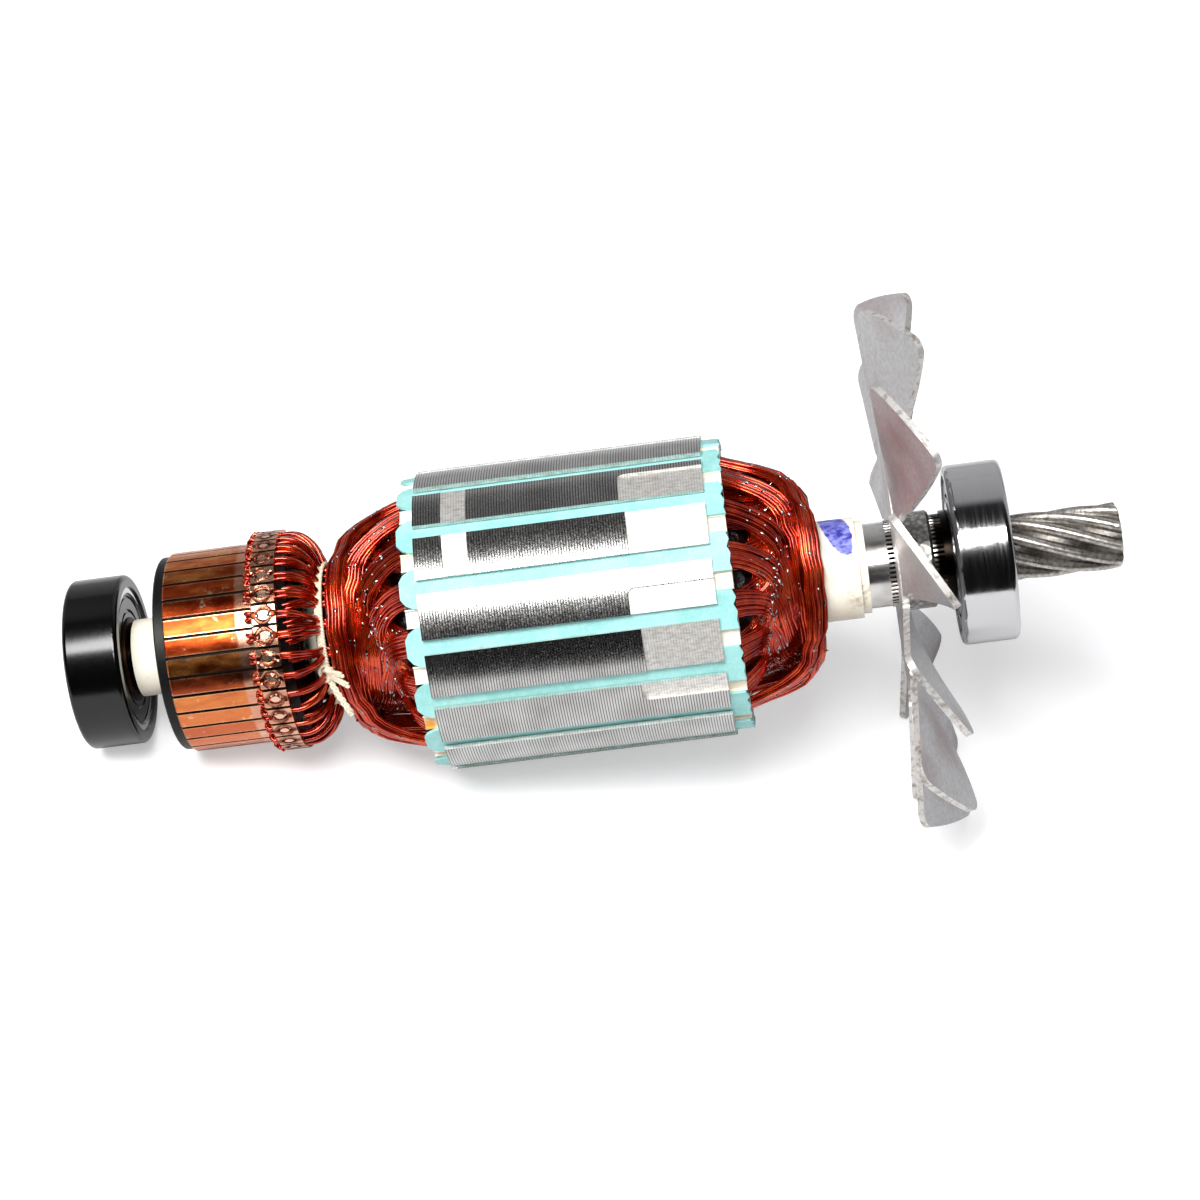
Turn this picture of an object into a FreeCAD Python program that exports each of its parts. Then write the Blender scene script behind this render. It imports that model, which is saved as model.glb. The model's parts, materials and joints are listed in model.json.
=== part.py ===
import FreeCAD, Part
import math
import os

import Sketcher

# Motor armature of a universal motor: shaft with helical pinion, two ball bearings, stamped fan,
# wound lamination stack and commutator.
# All pieces are drawn in the shaft's frame: X runs along the shaft from the commutator to the pinion,
# with zero at the lamination stack's commutator-side face. Angles turn about X from the side that
# shows, -Y, down towards -Z. At the end every piece takes one common Placement, which lays the
# armature on its fan and its bearing boot, with +Z up and the floor at z = 0.

Vector = FreeCAD.Vector
Rotation = FreeCAD.Rotation
Placement = FreeCAD.Placement

SHAFT_AXIS = Vector(1, 0, 0)

# Driving sizes in millimetres, degrees and counts. Places are along the shaft.
DRIVING_SIZES = {
    # lamination stack and its slots
    "core_length": 55.3,
    "core_radius": 29.3,
    "slot_count": 16,
    "slot_opening": 2.9,
    "tooth_lip": 1.0,
    "slot_width": 7.8,
    "slot_floor_width": 3.9,
    "slot_floor_radius": 17.6,
    "slot_phase": 9.55,
    "liner_wall": 0.25,
    "wedge_wall": 0.8,
    "wedge_play": 0.1,
    "wedge_slack": 0.25,
    "wedge_tear": 0.3,
    "wedge_overhang": 3.3,
    "wedge_corner": 2.4,
    # what the balancing took off the stack
    "milling_start": 40.2,
    "milling_depth": 0.6,
    "milling_corner": 1.2,
    "ground_band_start": 5.4,
    "ground_band_length": 4.8,
    "ground_band_depth": 0.38,
    # end insulators
    "insulator_left": 2.7,
    "insulator_right": 3.4,
    "insulator_radius": 27.1,
    # end turns
    "skin_rows": 12,
    "skin_columns": 64,
    "coil_span": 7,
    "coil_inner_share": 0.72,
    "coil_outer_share": 0.99,
    "stacked_coils": 5.3,
    "last_coil_start": -80.45,
    "neck_place": -22.5,
    "neck_radius": 13.2,
    "end_turn_radius": 26.2,
    "left_turns_length": 19.9,
    "right_turns_length": 21.0,
    "right_turns_low": 10.6,
    # insulation on the shaft
    "tube_left_end": -59.6,
    "tube_left_radius": 7.6,
    "tube_step": -19.0,
    "tube_radius": 9.05,
    "tube_right_end": 84.1,
    "wrap_radius": 9.85,
    "wrap_end": 82.5,
    "wrap_play": 0.8,
    # commutator
    "bar_count": 32,
    "bar_phase": 2.6,
    "bar_gap": 0.6,
    "bar_edge": 0.3,
    "undercut": 1.2,
    "commutator_start": -50.5,
    "commutator_radius": 19.6,
    "bar_root_radius": 14.8,
    "riser_start": -33.0,
    "riser_end": -28.2,
    "riser_radius": 21.57,
    "moulding_start": -52.5,
    "moulding_end": -26.8,
    "moulding_radius": 19.0,
    "bush_radius": 9.7,
    "band_radius": 16.3,
    "band_wall": 0.7,
    "band_length": 2.0,
    "stake_length": 3.2,
    "stake_width": 2.3,
    "stake_depth": 0.5,
    # lead wires and binding cord
    "lead_wire": 1.3,
    "lead_depth": 0.9,
    "cord_width": 2.0,
    "cord_wall": 0.8,
    "knot_radius": 1.5,
    "knot_phase": 14.0,
    "tail_width": 1.2,
    "tail_wall": 0.5,
    # shaft
    "shaft_chamfer": 0.5,
    "fan_bearing_shoulder": 1.5,
    "core_seat_radius": 6.5,
    "fan_seat_start": 79.0,
    "ground_radius": 8.25,
    "knurl_start": 88.2,
    "knurl_end": 99.0,
    "knurl_radius": 8.45,
    "knurl_count": 56,
    "knurl_depth": 0.3,
    "knurl_width": 1.0,
    "left_collar_radius": 7.2,
    "pinion_start": 112.0,
    "pinion_end": 133.0,
    "pinion_radius": 6.43,
    "pinion_root_radius": 4.95,
    "pinion_teeth": 9,
    "pinion_crest_share": 0.54,
    "pinion_turn": 4.15,
    "pinion_phase": 18.3,
    "pinion_chamfer": 0.6,
    # fan
    "fan_face": 89.4,
    "fan_sheet": 1.3,
    "fan_disc_radius": 25.0,
    "fan_radius": 51.5,
    "blade_count": 12,
    "blade_phase": 0.5,
    "blade_root_chord": 11.6,
    "blade_tip_chord": 22.0,
    "blade_tip_angle": 29.0,
    "blade_lead": 2.0,
    "blade_corner": 2.8,
    "notch_place": 28.6,
    "notch_radius": 1.8,
    "collar_radius": 9.45,
    "collar_edge": 0.5,
    "collar_end": 96.9,
    # pinion-end bearing
    "fan_bearing_start": 100.6,
    "fan_bearing_width": 11.0,
    "fan_bearing_bore": 7.5,
    "fan_bearing_radius": 17.5,
    "fan_ball_radius": 2.976,
    "fan_ball_count": 8,
    "fan_ring_edge": 1.1,
    # commutator-end bearing and its boot
    "boot_start": -71.0,
    "boot_end": -60.2,
    "boot_radius": 16.7,
    "boot_lip": 12.6,
    "boot_edge": 0.9,
    "boot_seat_lip": 0.7,
    "tail_bearing_end": -60.6,
    "tail_bearing_width": 9.0,
    "tail_bearing_bore": 5.0,
    "tail_bearing_radius": 15.0,
    "tail_ball_radius": 2.381,
    "tail_ball_count": 7,
    "tail_ring_edge": 0.6,
    # fits shared by both bearings
    "ball_play": 0.03,
    "seal_play": 0.06,
    "cage_play": 0.12,
    "cage_margin": 0.45,
    "cage_wall": 0.9,
    "seal_seat": 1.9,
    "seal_depth": 0.3,
    "seal_wall": 1.1,
    "seal_groove": 0.35,
    "race_ratio": 1.04,
    "shoulder_share": 0.74,
    # how far above the horizon the side that shows stands, before the armature settles
    "shown_height": 36.3,
}


class Size:
    """A number together with its formula over the sheet, so that features stay bound to the cells."""

    def __init__(self, formula, value):
        self.formula = formula
        self.value = float(value)

    def __add__(self, other):
        other = as_size(other)
        return Size(f"({self.formula} + {other.formula})", self.value + other.value)

    def __sub__(self, other):
        other = as_size(other)
        return Size(f"({self.formula} - {other.formula})", self.value - other.value)

    def __mul__(self, other):
        other = as_size(other)
        return Size(f"({self.formula} * {other.formula})", self.value * other.value)

    def __truediv__(self, other):
        other = as_size(other)
        return Size(f"({self.formula} / {other.formula})", self.value / other.value)

    def __neg__(self):
        return Size(f"(0 - {self.formula})", -self.value)


def as_size(number):
    """Let plain numbers stand beside sizes in a formula."""
    if isinstance(number, Size):
        return number
    return Size(repr(float(number)), number)


doc = FreeCAD.newDocument("motor_armature")
sheet = doc.addObject("Spreadsheet::Sheet", "sizes")
for row, (alias, number) in enumerate(DRIVING_SIZES.items(), start=1):
    sheet.set(f"A{row}", alias)
    sheet.set(f"B{row}", str(number))
    sheet.setAlias(f"B{row}", alias)
doc.recompute()

size = {alias: Size(f"sizes.{alias}", number) for alias, number in DRIVING_SIZES.items()}
subparts = []


def number(alias):
    """A driving size as the sheet holds it."""
    return float(getattr(sheet, alias))


def bind(feature, field, value):
    """Tie a field of a feature to a formula over the sheet."""
    feature.setExpression(field, as_size(value).formula)


def origin_part(body, role):
    """A plane or an axis of a body's own origin."""
    return next(part for part in body.Origin.OriginFeatures if part.Role == role)


def new_sketch(body, role, offset=None):
    """An empty sketch on an origin plane of the body, moved along its normal by the offset."""
    sketch = body.newObject("Sketcher::SketchObject", body.Name + "_sketch")
    sketch.AttachmentSupport = [(origin_part(body, role), "")]
    sketch.MapMode = "FlatFace"
    if offset is not None:
        sketch.AttachmentOffset = Placement(Vector(0, 0, offset.value), Rotation())
        bind(sketch, "AttachmentOffset.Base.z", offset)
    return sketch


def hold_point(sketch, line, end, across, up):
    """Place one end of a line by two dimensions from the origin, or on an axis where one is zero."""
    for kind, place, axis in (("DistanceX", across, -2), ("DistanceY", up, -1)):
        place = as_size(place)
        if place.value == 0:
            sketch.addConstraint(Sketcher.Constraint("PointOnObject", line, end, axis))
            continue
        index = sketch.addConstraint(Sketcher.Constraint(kind, -1, 1, line, end, place.value))
        sketch.setExpression(f"Constraints[{index}]", place.formula)


def closed_outline(body, role, corners, offset=None):
    """A sketch of straight lines through the corners, each corner dimensioned from the origin."""
    sketch = new_sketch(body, role, offset)
    points = [Vector(as_size(across).value, as_size(up).value, 0) for across, up in corners]
    for start, end in zip(points, points[1:] + points[:1]):
        sketch.addGeometry(Part.LineSegment(start, end), False)
    for line, (across, up) in enumerate(corners):
        following = (line + 1) % len(corners)
        sketch.addConstraint(Sketcher.Constraint("Coincident", line, 2, following, 1))
        hold_point(sketch, line, 1, across, up)
    return sketch


def new_body(label):
    body = doc.addObject("PartDesign::Body", label)
    body.Label = label
    body.AllowCompound = True
    return body


def turned(label, corners):
    """A body turned about the shaft from a closed outline of (place along, radius) corners."""
    body = new_body(label)
    turn = body.newObject("PartDesign::Revolution", label + "_turn")
    turn.Profile = closed_outline(body, "XZ_Plane", corners)
    turn.ReferenceAxis = (turn.Profile[0], ["H_Axis"])
    turn.Angle = 360
    doc.recompute()
    return body


def pad_around(body, role, corners, start, length, count, both_ways=False):
    """Pad an outline from one of the planes and repeat it evenly about the shaft."""
    pad = body.newObject("PartDesign::Pad", body.Name + "_pad")
    pad.Profile = closed_outline(body, role, corners, start)
    bind(pad, "Length", length)
    if both_ways:
        pad.SideType = "Symmetric"
    doc.recompute()
    around(body, pad, count)


def groove_race(body, middle, centre_radius, race_radius):
    """Turn a ball race into a ring: a circle revolved about the shaft."""
    sketch = new_sketch(body, "XZ_Plane")
    centre = Vector(as_size(middle).value, as_size(centre_radius).value, 0)
    sketch.addGeometry(Part.Circle(centre, Vector(0, 0, 1), as_size(race_radius).value), False)
    hold_point(sketch, 0, 3, middle, centre_radius)
    index = sketch.addConstraint(Sketcher.Constraint("Radius", 0, as_size(race_radius).value))
    sketch.setExpression(f"Constraints[{index}]", as_size(race_radius).formula)
    before = body.Shape.Volume
    groove = body.newObject("PartDesign::Groove", body.Name + "_race")
    groove.Profile = sketch
    groove.ReferenceAxis = (sketch, ["H_Axis"])
    groove.Angle = 360
    doc.recompute()
    assert body.Shape.Volume < before, f"{body.Label}: the race cuts nothing"


def around(body, feature, count):
    """Repeat a feature evenly about the shaft."""
    pattern = body.newObject("PartDesign::PolarPattern", feature.Name + "_pattern")
    pattern.Originals = [feature]
    pattern.Axis = (origin_part(body, "X_Axis"), [""])
    pattern.Angle = 360
    bind(pattern, "Occurrences", count)
    body.Tip = pattern
    doc.recompute()


def pocket_across(body, corners, start, length, count):
    """Cut an outline along the shaft, repeated about it."""
    before = body.Shape.Volume
    pocket = body.newObject("PartDesign::Pocket", body.Name + "_pocket")
    pocket.Profile = closed_outline(body, "YZ_Plane", corners, start)
    bind(pocket, "Length", length)
    pocket.Reversed = True
    doc.recompute()
    around(body, pocket, count)
    assert body.Shape.Volume < before, f"{body.Label}: the pocket cuts nothing"


def round_edges(body, radius, wanted):
    """Fillet the edges that the test picks."""
    solid = body.Tip
    names = [f"Edge{i}" for i, edge in enumerate(solid.Shape.Edges, start=1) if wanted(edge)]
    fillet = body.newObject("PartDesign::Fillet", body.Name + "_round")
    fillet.Base = (solid, names)
    bind(fillet, "Radius", radius)
    body.Tip = fillet
    doc.recompute()


def rim_edges(radius):
    """Picks full circles of one radius about the shaft."""
    def wanted(edge):
        return isinstance(edge.Curve, Part.Circle) and abs(edge.Curve.Radius - radius.value) < 0.001
    return wanted


def keep(piece, angle=0.0):
    """List a finished sub-part, turned about the shaft by its phase."""
    piece.Placement = Placement(Vector(), Rotation(SHAFT_AXIS, angle)) * piece.Placement
    subparts.append(piece)
    return piece


def from_top(phase):
    """The turn that takes a form drawn on +Z to its phase, counted from -Y."""
    return number(phase) + 90.0


# Shaft with its seats, knurl and helical pinion.
# One steel piece: the pinion is cut from the same bar, and its helix is right-handed.


def shaft_bar():
    tail_start = size["tail_bearing_end"] - size["tail_bearing_width"]
    fan_bearing_end = size["fan_bearing_start"] + size["fan_bearing_width"]
    chamfer = size["shaft_chamfer"]
    shoulder = size["fan_bearing_bore"] + size["fan_bearing_shoulder"]
    return turned("shaft_bar", [
        (tail_start, 0),
        (tail_start, size["tail_bearing_bore"] - chamfer),
        (tail_start + chamfer, size["tail_bearing_bore"]),
        (size["tail_bearing_end"], size["tail_bearing_bore"]),
        (size["tail_bearing_end"], size["left_collar_radius"]),
        (size["tube_left_end"], size["left_collar_radius"]),
        (size["tube_left_end"], size["core_seat_radius"]),
        (size["fan_seat_start"], size["core_seat_radius"]),
        (size["fan_seat_start"], size["ground_radius"]),
        (size["knurl_start"], size["ground_radius"]),
        (size["knurl_start"], size["knurl_radius"]),
        (size["knurl_end"], size["knurl_radius"]),
        (size["knurl_end"], shoulder),
        (size["fan_bearing_start"], shoulder),
        (size["fan_bearing_start"], size["fan_bearing_bore"]),
        (fan_bearing_end, size["fan_bearing_bore"]),
        (size["pinion_start"], size["pinion_radius"]),
        (size["pinion_start"] + chamfer, size["pinion_root_radius"]),
        (size["pinion_end"], size["pinion_root_radius"]),
        (size["pinion_end"], 0),
    ])


def pinion_profile():
    """Closed outline of the rounded teeth across the shaft: arcs over crests and through roots."""
    crest = number("pinion_radius")
    root = number("pinion_root_radius") - 0.15
    teeth = int(number("pinion_teeth"))
    pitch = 2 * math.pi / teeth
    half = pitch * number("pinion_crest_share") / 2
    middle = (crest + root) / 2
    start = number("pinion_start")
    edges = []

    def spot(radius, angle):
        return Vector(start, radius * math.sin(angle), radius * math.cos(angle))

    for tooth in range(teeth):
        centre = tooth * pitch
        flank_in = spot(middle, centre - half)
        flank_out = spot(middle, centre + half)
        next_in = spot(middle, centre + pitch - half)
        edges.append(Part.Arc(flank_in, spot(crest, centre), flank_out).toShape())
        edges.append(Part.Arc(flank_out, spot(root, centre + pitch / 2), next_in).toShape())
    return Part.Wire(edges)


def pinion_teeth():
    """The teeth swept along a helix, with the end face chamfered."""
    start = number("pinion_start")
    length = number("pinion_end") - start
    lead = 360.0 / number("pinion_turn")
    spine = Part.Wire([Part.makeLine(Vector(start, 0, 0), Vector(start + length, 0, 0))])
    helix = Part.makeHelix(lead, length, number("pinion_radius"))
    helix.Placement = Placement(Vector(start, 0, 0), Rotation(Vector(0, 1, 0), 90))
    sweep = Part.BRepOffsetAPI.MakePipeShell(spine)
    sweep.setAuxiliarySpine(Part.Wire(helix.Edges), True, 0)
    sweep.add(pinion_profile())
    sweep.build()
    sweep.makeSolid()
    teeth = sweep.shape()
    crest = number("pinion_radius") + 0.2
    chamfer = number("pinion_chamfer")
    blank = Part.makeCylinder(crest, length - chamfer, Vector(start, 0, 0), SHAFT_AXIS)
    tip = Vector(start + length - chamfer, 0, 0)
    point = Part.makeCone(crest, crest - 2 * chamfer, chamfer, tip, SHAFT_AXIS)
    piece = doc.addObject("Part::Feature", "pinion_teeth")
    piece.Shape = teeth.common(blank.fuse(point))
    piece.Placement = Placement(Vector(), Rotation(SHAFT_AXIS, from_top("pinion_phase")))
    return piece


def shaft():
    bar = shaft_bar()
    half = size["knurl_width"] / 2
    above = size["knurl_radius"] + 0.2
    pocket_across(bar, [
        (-half, above),
        (half, above),
        (0, size["knurl_radius"] - size["knurl_depth"]),
    ], size["knurl_start"], size["knurl_end"] - size["knurl_start"], size["knurl_count"])
    whole = doc.addObject("Part::MultiFuse", "shaft")
    whole.Label = "shaft"
    whole.Shapes = [bar, pinion_teeth()]
    doc.recompute()
    keep(whole)


shaft()


# Insulation on the shaft: the moulded tube and the paper wrap on the fan side.
# The tube keeps the stack, the windings and the commutator clear of the steel.

keep(turned("insulation_tube", [
    (size["tube_left_end"], size["core_seat_radius"]),
    (size["tube_left_end"], size["tube_left_radius"]),
    (size["tube_step"], size["tube_left_radius"]),
    (size["tube_step"], size["tube_radius"]),
    (size["tube_right_end"], size["tube_radius"]),
    (size["tube_right_end"], size["ground_radius"]),
    (size["fan_seat_start"], size["ground_radius"]),
    (size["fan_seat_start"], size["core_seat_radius"]),
]))

keep(turned("fan_side_wrap", [
    (size["core_length"], size["tube_radius"]),
    (size["core_length"], size["wrap_radius"]),
    (size["wrap_end"], size["wrap_radius"]),
    (size["wrap_end"], size["tube_radius"]),
]))


# Lamination stack with its slots, and what lies in the slots.
# Every slot takes a folded liner, the coil sides and a wedge, each from the same slot sizes.


def slot_outline(inset):
    """Half of a slot below the opening, drawn on +Z: shoulder and floor, moved in by the inset."""
    shoulder_up = size["core_radius"] - size["tooth_lip"] - inset
    wall_up = size["core_radius"] - size["tooth_lip"] - size["wedge_wall"] - inset
    floor_up = size["slot_floor_radius"] + inset
    half = size["slot_width"] / 2 - inset
    half_floor = size["slot_floor_width"] / 2 - inset
    return half, half_floor, shoulder_up, wall_up, floor_up


def lamination_stack():
    body = turned("stack_blank", [
        (0, size["tube_radius"]),
        (0, size["core_radius"]),
        (size["core_length"], size["core_radius"]),
        (size["core_length"], size["tube_radius"]),
    ])
    half, half_floor, shoulder_up, wall_up, floor_up = slot_outline(0)
    opening = size["slot_opening"] / 2
    top = size["core_radius"] + 1
    pocket_across(body, [
        (opening, top),
        (opening, shoulder_up),
        (half, shoulder_up - 0.2),
        (half, wall_up),
        (half_floor, floor_up),
        (-half_floor, floor_up),
        (-half, wall_up),
        (-half, shoulder_up - 0.2),
        (-opening, shoulder_up),
        (-opening, top),
    ], as_size(0), size["core_length"], size["slot_count"])
    body.Placement = Placement(Vector(), Rotation(SHAFT_AXIS, from_top("slot_phase")))
    milled = doc.addObject("Part::Cut", "lamination_stack")
    milled.Label = "lamination_stack"
    milled.Base = body
    milled.Tool = milling_cuts()
    doc.recompute()
    assert milled.Shape.Volume < body.Shape.Volume, "the milling cuts nothing"
    keep(milled)


def milling_cut(tooth, upper, lower, start, length, depth):
    """What the cutter takes off a tooth, counted from the one that faces forward.

    Upper and lower are places across the tooth in shares of half its pitch; past one the cutter
    runs out over its edge.
    """
    pitch = 360 / number("slot_count")
    half_tooth = number("core_radius") * math.sin(math.radians(pitch / 2))
    cutter = doc.addObject("Part::Box", "milling_cut")
    bind(cutter, "Length", length)
    bind(cutter, "Width", (lower - upper) * half_tooth)
    bind(cutter, "Height", depth + 1)
    bind(cutter, "Placement.Base.x", start)
    bind(cutter, "Placement.Base.y", -lower * half_tooth)
    bind(cutter, "Placement.Base.z", size["core_radius"] - depth)
    doc.recompute()
    box = cutter.Shape
    corner = number("milling_corner")
    ends = [edge for edge in box.Edges
            if edge.BoundBox.XLength + edge.BoundBox.YLength < 0.001
            and edge.BoundBox.XMin < box.BoundBox.XMin + 0.001]
    rounded = doc.addObject("Part::Fillet", "rounded_cut")
    rounded.Base = cutter
    names = [i for i, edge in enumerate(box.Edges, start=1) if any(edge.isSame(end) for end in ends)]
    rounded.Edges = [(name, corner, corner) for name in names]
    middle = from_top("slot_phase") + (tooth - 0.5) * pitch
    rounded.Placement = Placement(Vector(), Rotation(SHAFT_AXIS, middle))
    return rounded


def milling_cuts():
    """Flats and pockets that balance the rotor: deep ones at the fan end, two shallow bands left."""
    start = size["milling_start"]
    to_end = size["core_length"] - start + 1
    deep = size["milling_depth"]
    band_start = size["ground_band_start"]
    band_length = size["ground_band_length"]
    shallow = size["ground_band_depth"]
    cuts = [
        milling_cut(-2, -0.45, 1.1, start - 1, to_end + 1, deep),
        milling_cut(-1, -1.1, 1.1, start, to_end, deep),
        milling_cut(0, -0.75, -0.32, start, to_end, deep),
        milling_cut(0, -0.12, 1.1, start - 1, to_end + 1, deep),
        milling_cut(1, -1.1, 1.1, start + 0.5, to_end, deep),
        milling_cut(2, -1.1, -0.08, start - 1, to_end + 1, deep),
        milling_cut(-2, -1.1, 1.1, band_start, band_length, shallow),
        milling_cut(-1, -1.1, 1.1, band_start, band_length, shallow),
    ]
    tool = doc.addObject("Part::Compound", "milling_cuts")
    tool.Links = cuts
    doc.recompute()
    return tool


lamination_stack()


def slot_liners():
    """Folded paper in each slot, reaching over both end insulators."""
    body = new_body("slot_liners")
    half, half_floor, _, wall_up, floor_up = slot_outline(0)
    half_in, half_floor_in, _, _, floor_in = slot_outline(size["liner_wall"])
    pad_around(body, "YZ_Plane", [
        (half, wall_up),
        (half_floor, floor_up),
        (-half_floor, floor_up),
        (-half, wall_up),
        (-half_in, wall_up),
        (-half_floor_in, floor_in),
        (half_floor_in, floor_in),
        (half_in, wall_up),
    ], -size["insulator_left"], end_to_end(), size["slot_count"])
    keep(body, from_top("slot_phase"))


def end_to_end():
    """From face to face of the two end insulators."""
    return size["insulator_left"] + size["core_length"] + size["insulator_right"]


def coil_sides():
    """The packed wires in each slot, inside the liner and under the wedge."""
    body = new_body("coil_sides")
    half, half_floor, _, _, floor_up = slot_outline(size["liner_wall"])
    top = size["core_radius"] - size["tooth_lip"] - size["wedge_wall"] - size["wedge_play"]
    play = size["wedge_play"]
    pad_around(body, "YZ_Plane", [
        (half - play, top),
        (half_floor - play, floor_up),
        (play - half_floor, floor_up),
        (play - half, top),
    ], -size["insulator_left"], end_to_end(), size["slot_count"])
    keep(body, from_top("slot_phase"))


def slot_wedges():
    """Fibre strips under the tooth lips: rounded tabs on the left, torn ends on the right."""
    body = new_body("slot_wedges")
    half = size["slot_width"] / 2 - size["wedge_play"]
    left = -size["wedge_overhang"]
    right = size["core_length"] + size["wedge_overhang"]
    corner = size["wedge_corner"]
    tear = size["wedge_tear"]
    bottom = size["core_radius"] - size["tooth_lip"] - size["wedge_wall"]
    pad_around(body, "XY_Plane", [
        (left, half * 0.42),
        (left + corner * 0.32, half * 0.74),
        (left + corner, half),
        (right - tear, half),
        (right + tear, half * 0.55),
        (right - tear, half * 0.2),
        (right + tear, -half * 0.15),
        (right, -half * 0.6),
        (right + tear, -half),
        (left + corner, -half),
        (left + corner * 0.4, -half * 0.8),
        (left, -half * 0.46),
    ], bottom, size["wedge_wall"] - size["wedge_slack"], size["slot_count"])
    keep(body, from_top("slot_phase"))


slot_liners()
coil_sides()
slot_wedges()


# End insulators: cream stars on both faces of the stack, with a tooth between every two slots.


def end_insulator(label, start, length):
    body = turned(label, [
        (start, size["tube_radius"] + size["wrap_play"]),
        (start, size["insulator_radius"]),
        (start + length, size["insulator_radius"]),
        (start + length, size["tube_radius"] + size["wrap_play"]),
    ])
    half, half_floor, _, wall_up, floor_up = slot_outline(0)
    top = size["insulator_radius"] + 1
    pocket_across(body, [
        (half, top),
        (half, wall_up),
        (half_floor, floor_up),
        (-half_floor, floor_up),
        (-half, wall_up),
        (-half, top),
    ], start, length, size["slot_count"])
    keep(body, from_top("slot_phase"))


end_insulator("commutator_side_insulator", -size["insulator_left"], size["insulator_left"])
end_insulator("fan_side_insulator", size["core_length"], size["insulator_right"])


# End turns: the wound domes on both sides of the stack.
# The coils are wound one after another, each over the ones before, and every one leaves a slot,
# leans against the shaft and enters the seventh slot on. The skin follows the coil that lies on top
# at each place, and drops into the hollows that the last coils bridge.


def on_line(corners, share):
    """A point at a share of the length of a line through corners of (distance out, radius)."""
    runs = [math.dist(one, two) for one, two in zip(corners, corners[1:])]
    left = share * sum(runs)
    for run, one, two in zip(runs, corners, corners[1:]):
        if left <= run:
            break
        left -= run
    return [a + (b - a) * min(1.0, left / run) for a, b in zip(one, two)]


def standing(progress):
    """How far a coil stands out of the slots, by the share of its span that it has gone."""
    return math.sin(math.pi * progress) ** 0.45 if 0 < progress < 1 else 0.0


def coils_beneath(coil, progress):
    """How many coils wound earlier lie under this one at that place."""
    slots = int(number("slot_count"))
    return sum(standing(progress + (lap - coil + other) / number("coil_span"))
               for other in range(coil) for lap in (0, slots))


def skin_level(share, angle):
    """Height of the windings between their innermost and outermost lines, from none to one."""
    slots = int(number("slot_count"))
    pitch = 360 / slots
    level = 0.06 + 0.4 * max(0.0, min(1.0, (share - 0.3) / 0.5))
    for coil in range(slots):
        start = number("last_coil_start") + (slots - 1 - coil) * pitch
        progress = ((angle - start) % 360) / (number("coil_span") * pitch)
        if progress >= 1:
            continue
        steps = [step / 40 for step in range(41)]
        turned_to = min(steps, key=lambda u: abs(u - 0.095 * math.sin(2 * math.pi * u) - progress))
        rise = math.sin(math.pi * turned_to) ** 0.55
        inner_edge = number("coil_inner_share") * rise
        outer_edge = number("coil_outer_share") * rise
        outside = max(inner_edge - share, share - outer_edge - 0.02, 0.0)
        height = (coils_beneath(coil, progress) + 0.6) / number("stacked_coils")
        level = max(level, height - outside * 5)
    return min(1.0, level)


def around_shaft(along, radius, angle):
    turn = math.radians(angle)
    return Vector(along, -radius * math.cos(turn), -radius * math.sin(turn))


def wound_skin(start, outward, inner, outer, finish):
    """Closed solid under the skin, flat at the stack and at the finish, with a round neck between."""
    last_row = int(number("skin_rows"))
    columns = int(number("skin_columns"))
    angles = [number("slot_phase") + 360 * column / columns for column in range(columns)]
    rows = []
    for row in range(last_row):
        share = row / last_row
        low_out, low = on_line(inner, share)
        out, high = on_line(outer, share)
        ring = []
        for angle in angles:
            level = skin_level(share, angle)
            along = start + outward * (low_out + (out - low_out) * level)
            ring.append(around_shaft(along, low + (high - low) * level, angle))
        rows.append(ring)
    end, neck = outer[-1]
    for along in (start + outward * end, finish):
        rows.append([around_shaft(along, neck, angle) for angle in angles])
    faces = [Part.Face(Part.makePolygon(ring + ring[:1])) for ring in (rows[0], rows[-1])]
    for near, far in zip(rows, rows[1:]):
        for column in range(columns):
            following = (column + 1) % columns
            one, two, three, four = near[column], near[following], far[following], far[column]
            faces.append(Part.Face(Part.makePolygon([one, two, three, one])))
            faces.append(Part.Face(Part.makePolygon([one, three, four, one])))
    shell = Part.Shell(faces)
    shell.sewShape()
    solid = Part.Solid(shell)
    if solid.Volume < 0:
        solid.reverse()
    return solid


def bore(start, finish, radius):
    return Part.makeCylinder(radius, finish - start, Vector(start, 0, 0), SHAFT_AXIS)


def end_turns(label, shape):
    piece = doc.addObject("Part::Feature", label)
    piece.Label = label
    piece.Shape = shape
    keep(piece)


def end_turns_left():
    start = number("insulator_left")
    length = number("left_turns_length")
    top = number("end_turn_radius")
    neck = number("neck_place")
    neck_radius = number("neck_radius")
    step = number("tube_step")
    outer = [(start, top), (start + 3.4, top - 1.2), (length * 0.465, top - 2.9),
             (length * 0.64, top - 4.9), (length * 0.8, top - 7), (length * 0.905, top - 9.2),
             (length * 0.97, neck_radius + 1.2), (length, neck_radius)]
    inner = [(start, 18.5), (start + 1.5, 15.5), (start + 2.5, 12.0), (start + 4, 9.9), (start + 6.5, 9.5)]
    skin = wound_skin(0, -1, inner, outer, neck)
    bores = [bore(step, 0, number("tube_radius")), bore(neck - 1, step, number("tube_left_radius"))]
    end_turns("commutator_side_end_turns", skin.cut(bores))


def end_turns_right():
    start = number("insulator_right")
    length = number("right_turns_length")
    top = number("end_turn_radius")
    low = number("right_turns_low")
    face = number("core_length")
    outer = [(start, top), (length * 0.36, top - 2), (length * 0.53, top - 3.6),
             (length * 0.7, top - 5.5), (length * 0.81, top - 8.2), (length * 0.905, low + 4.4),
             (length * 0.95, low + 1.9), (length * 0.98, low)]
    inner = [(start, 18.5), (start + 1.4, 15.5), (start + 2.4, 12.5), (start + 3.8, 10.9), (start + 6.3, low)]
    skin = wound_skin(face, 1, inner, outer, face + length)
    end_turns("fan_side_end_turns", skin.cut(bore(face, face + length + 1, number("wrap_radius"))))


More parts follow.
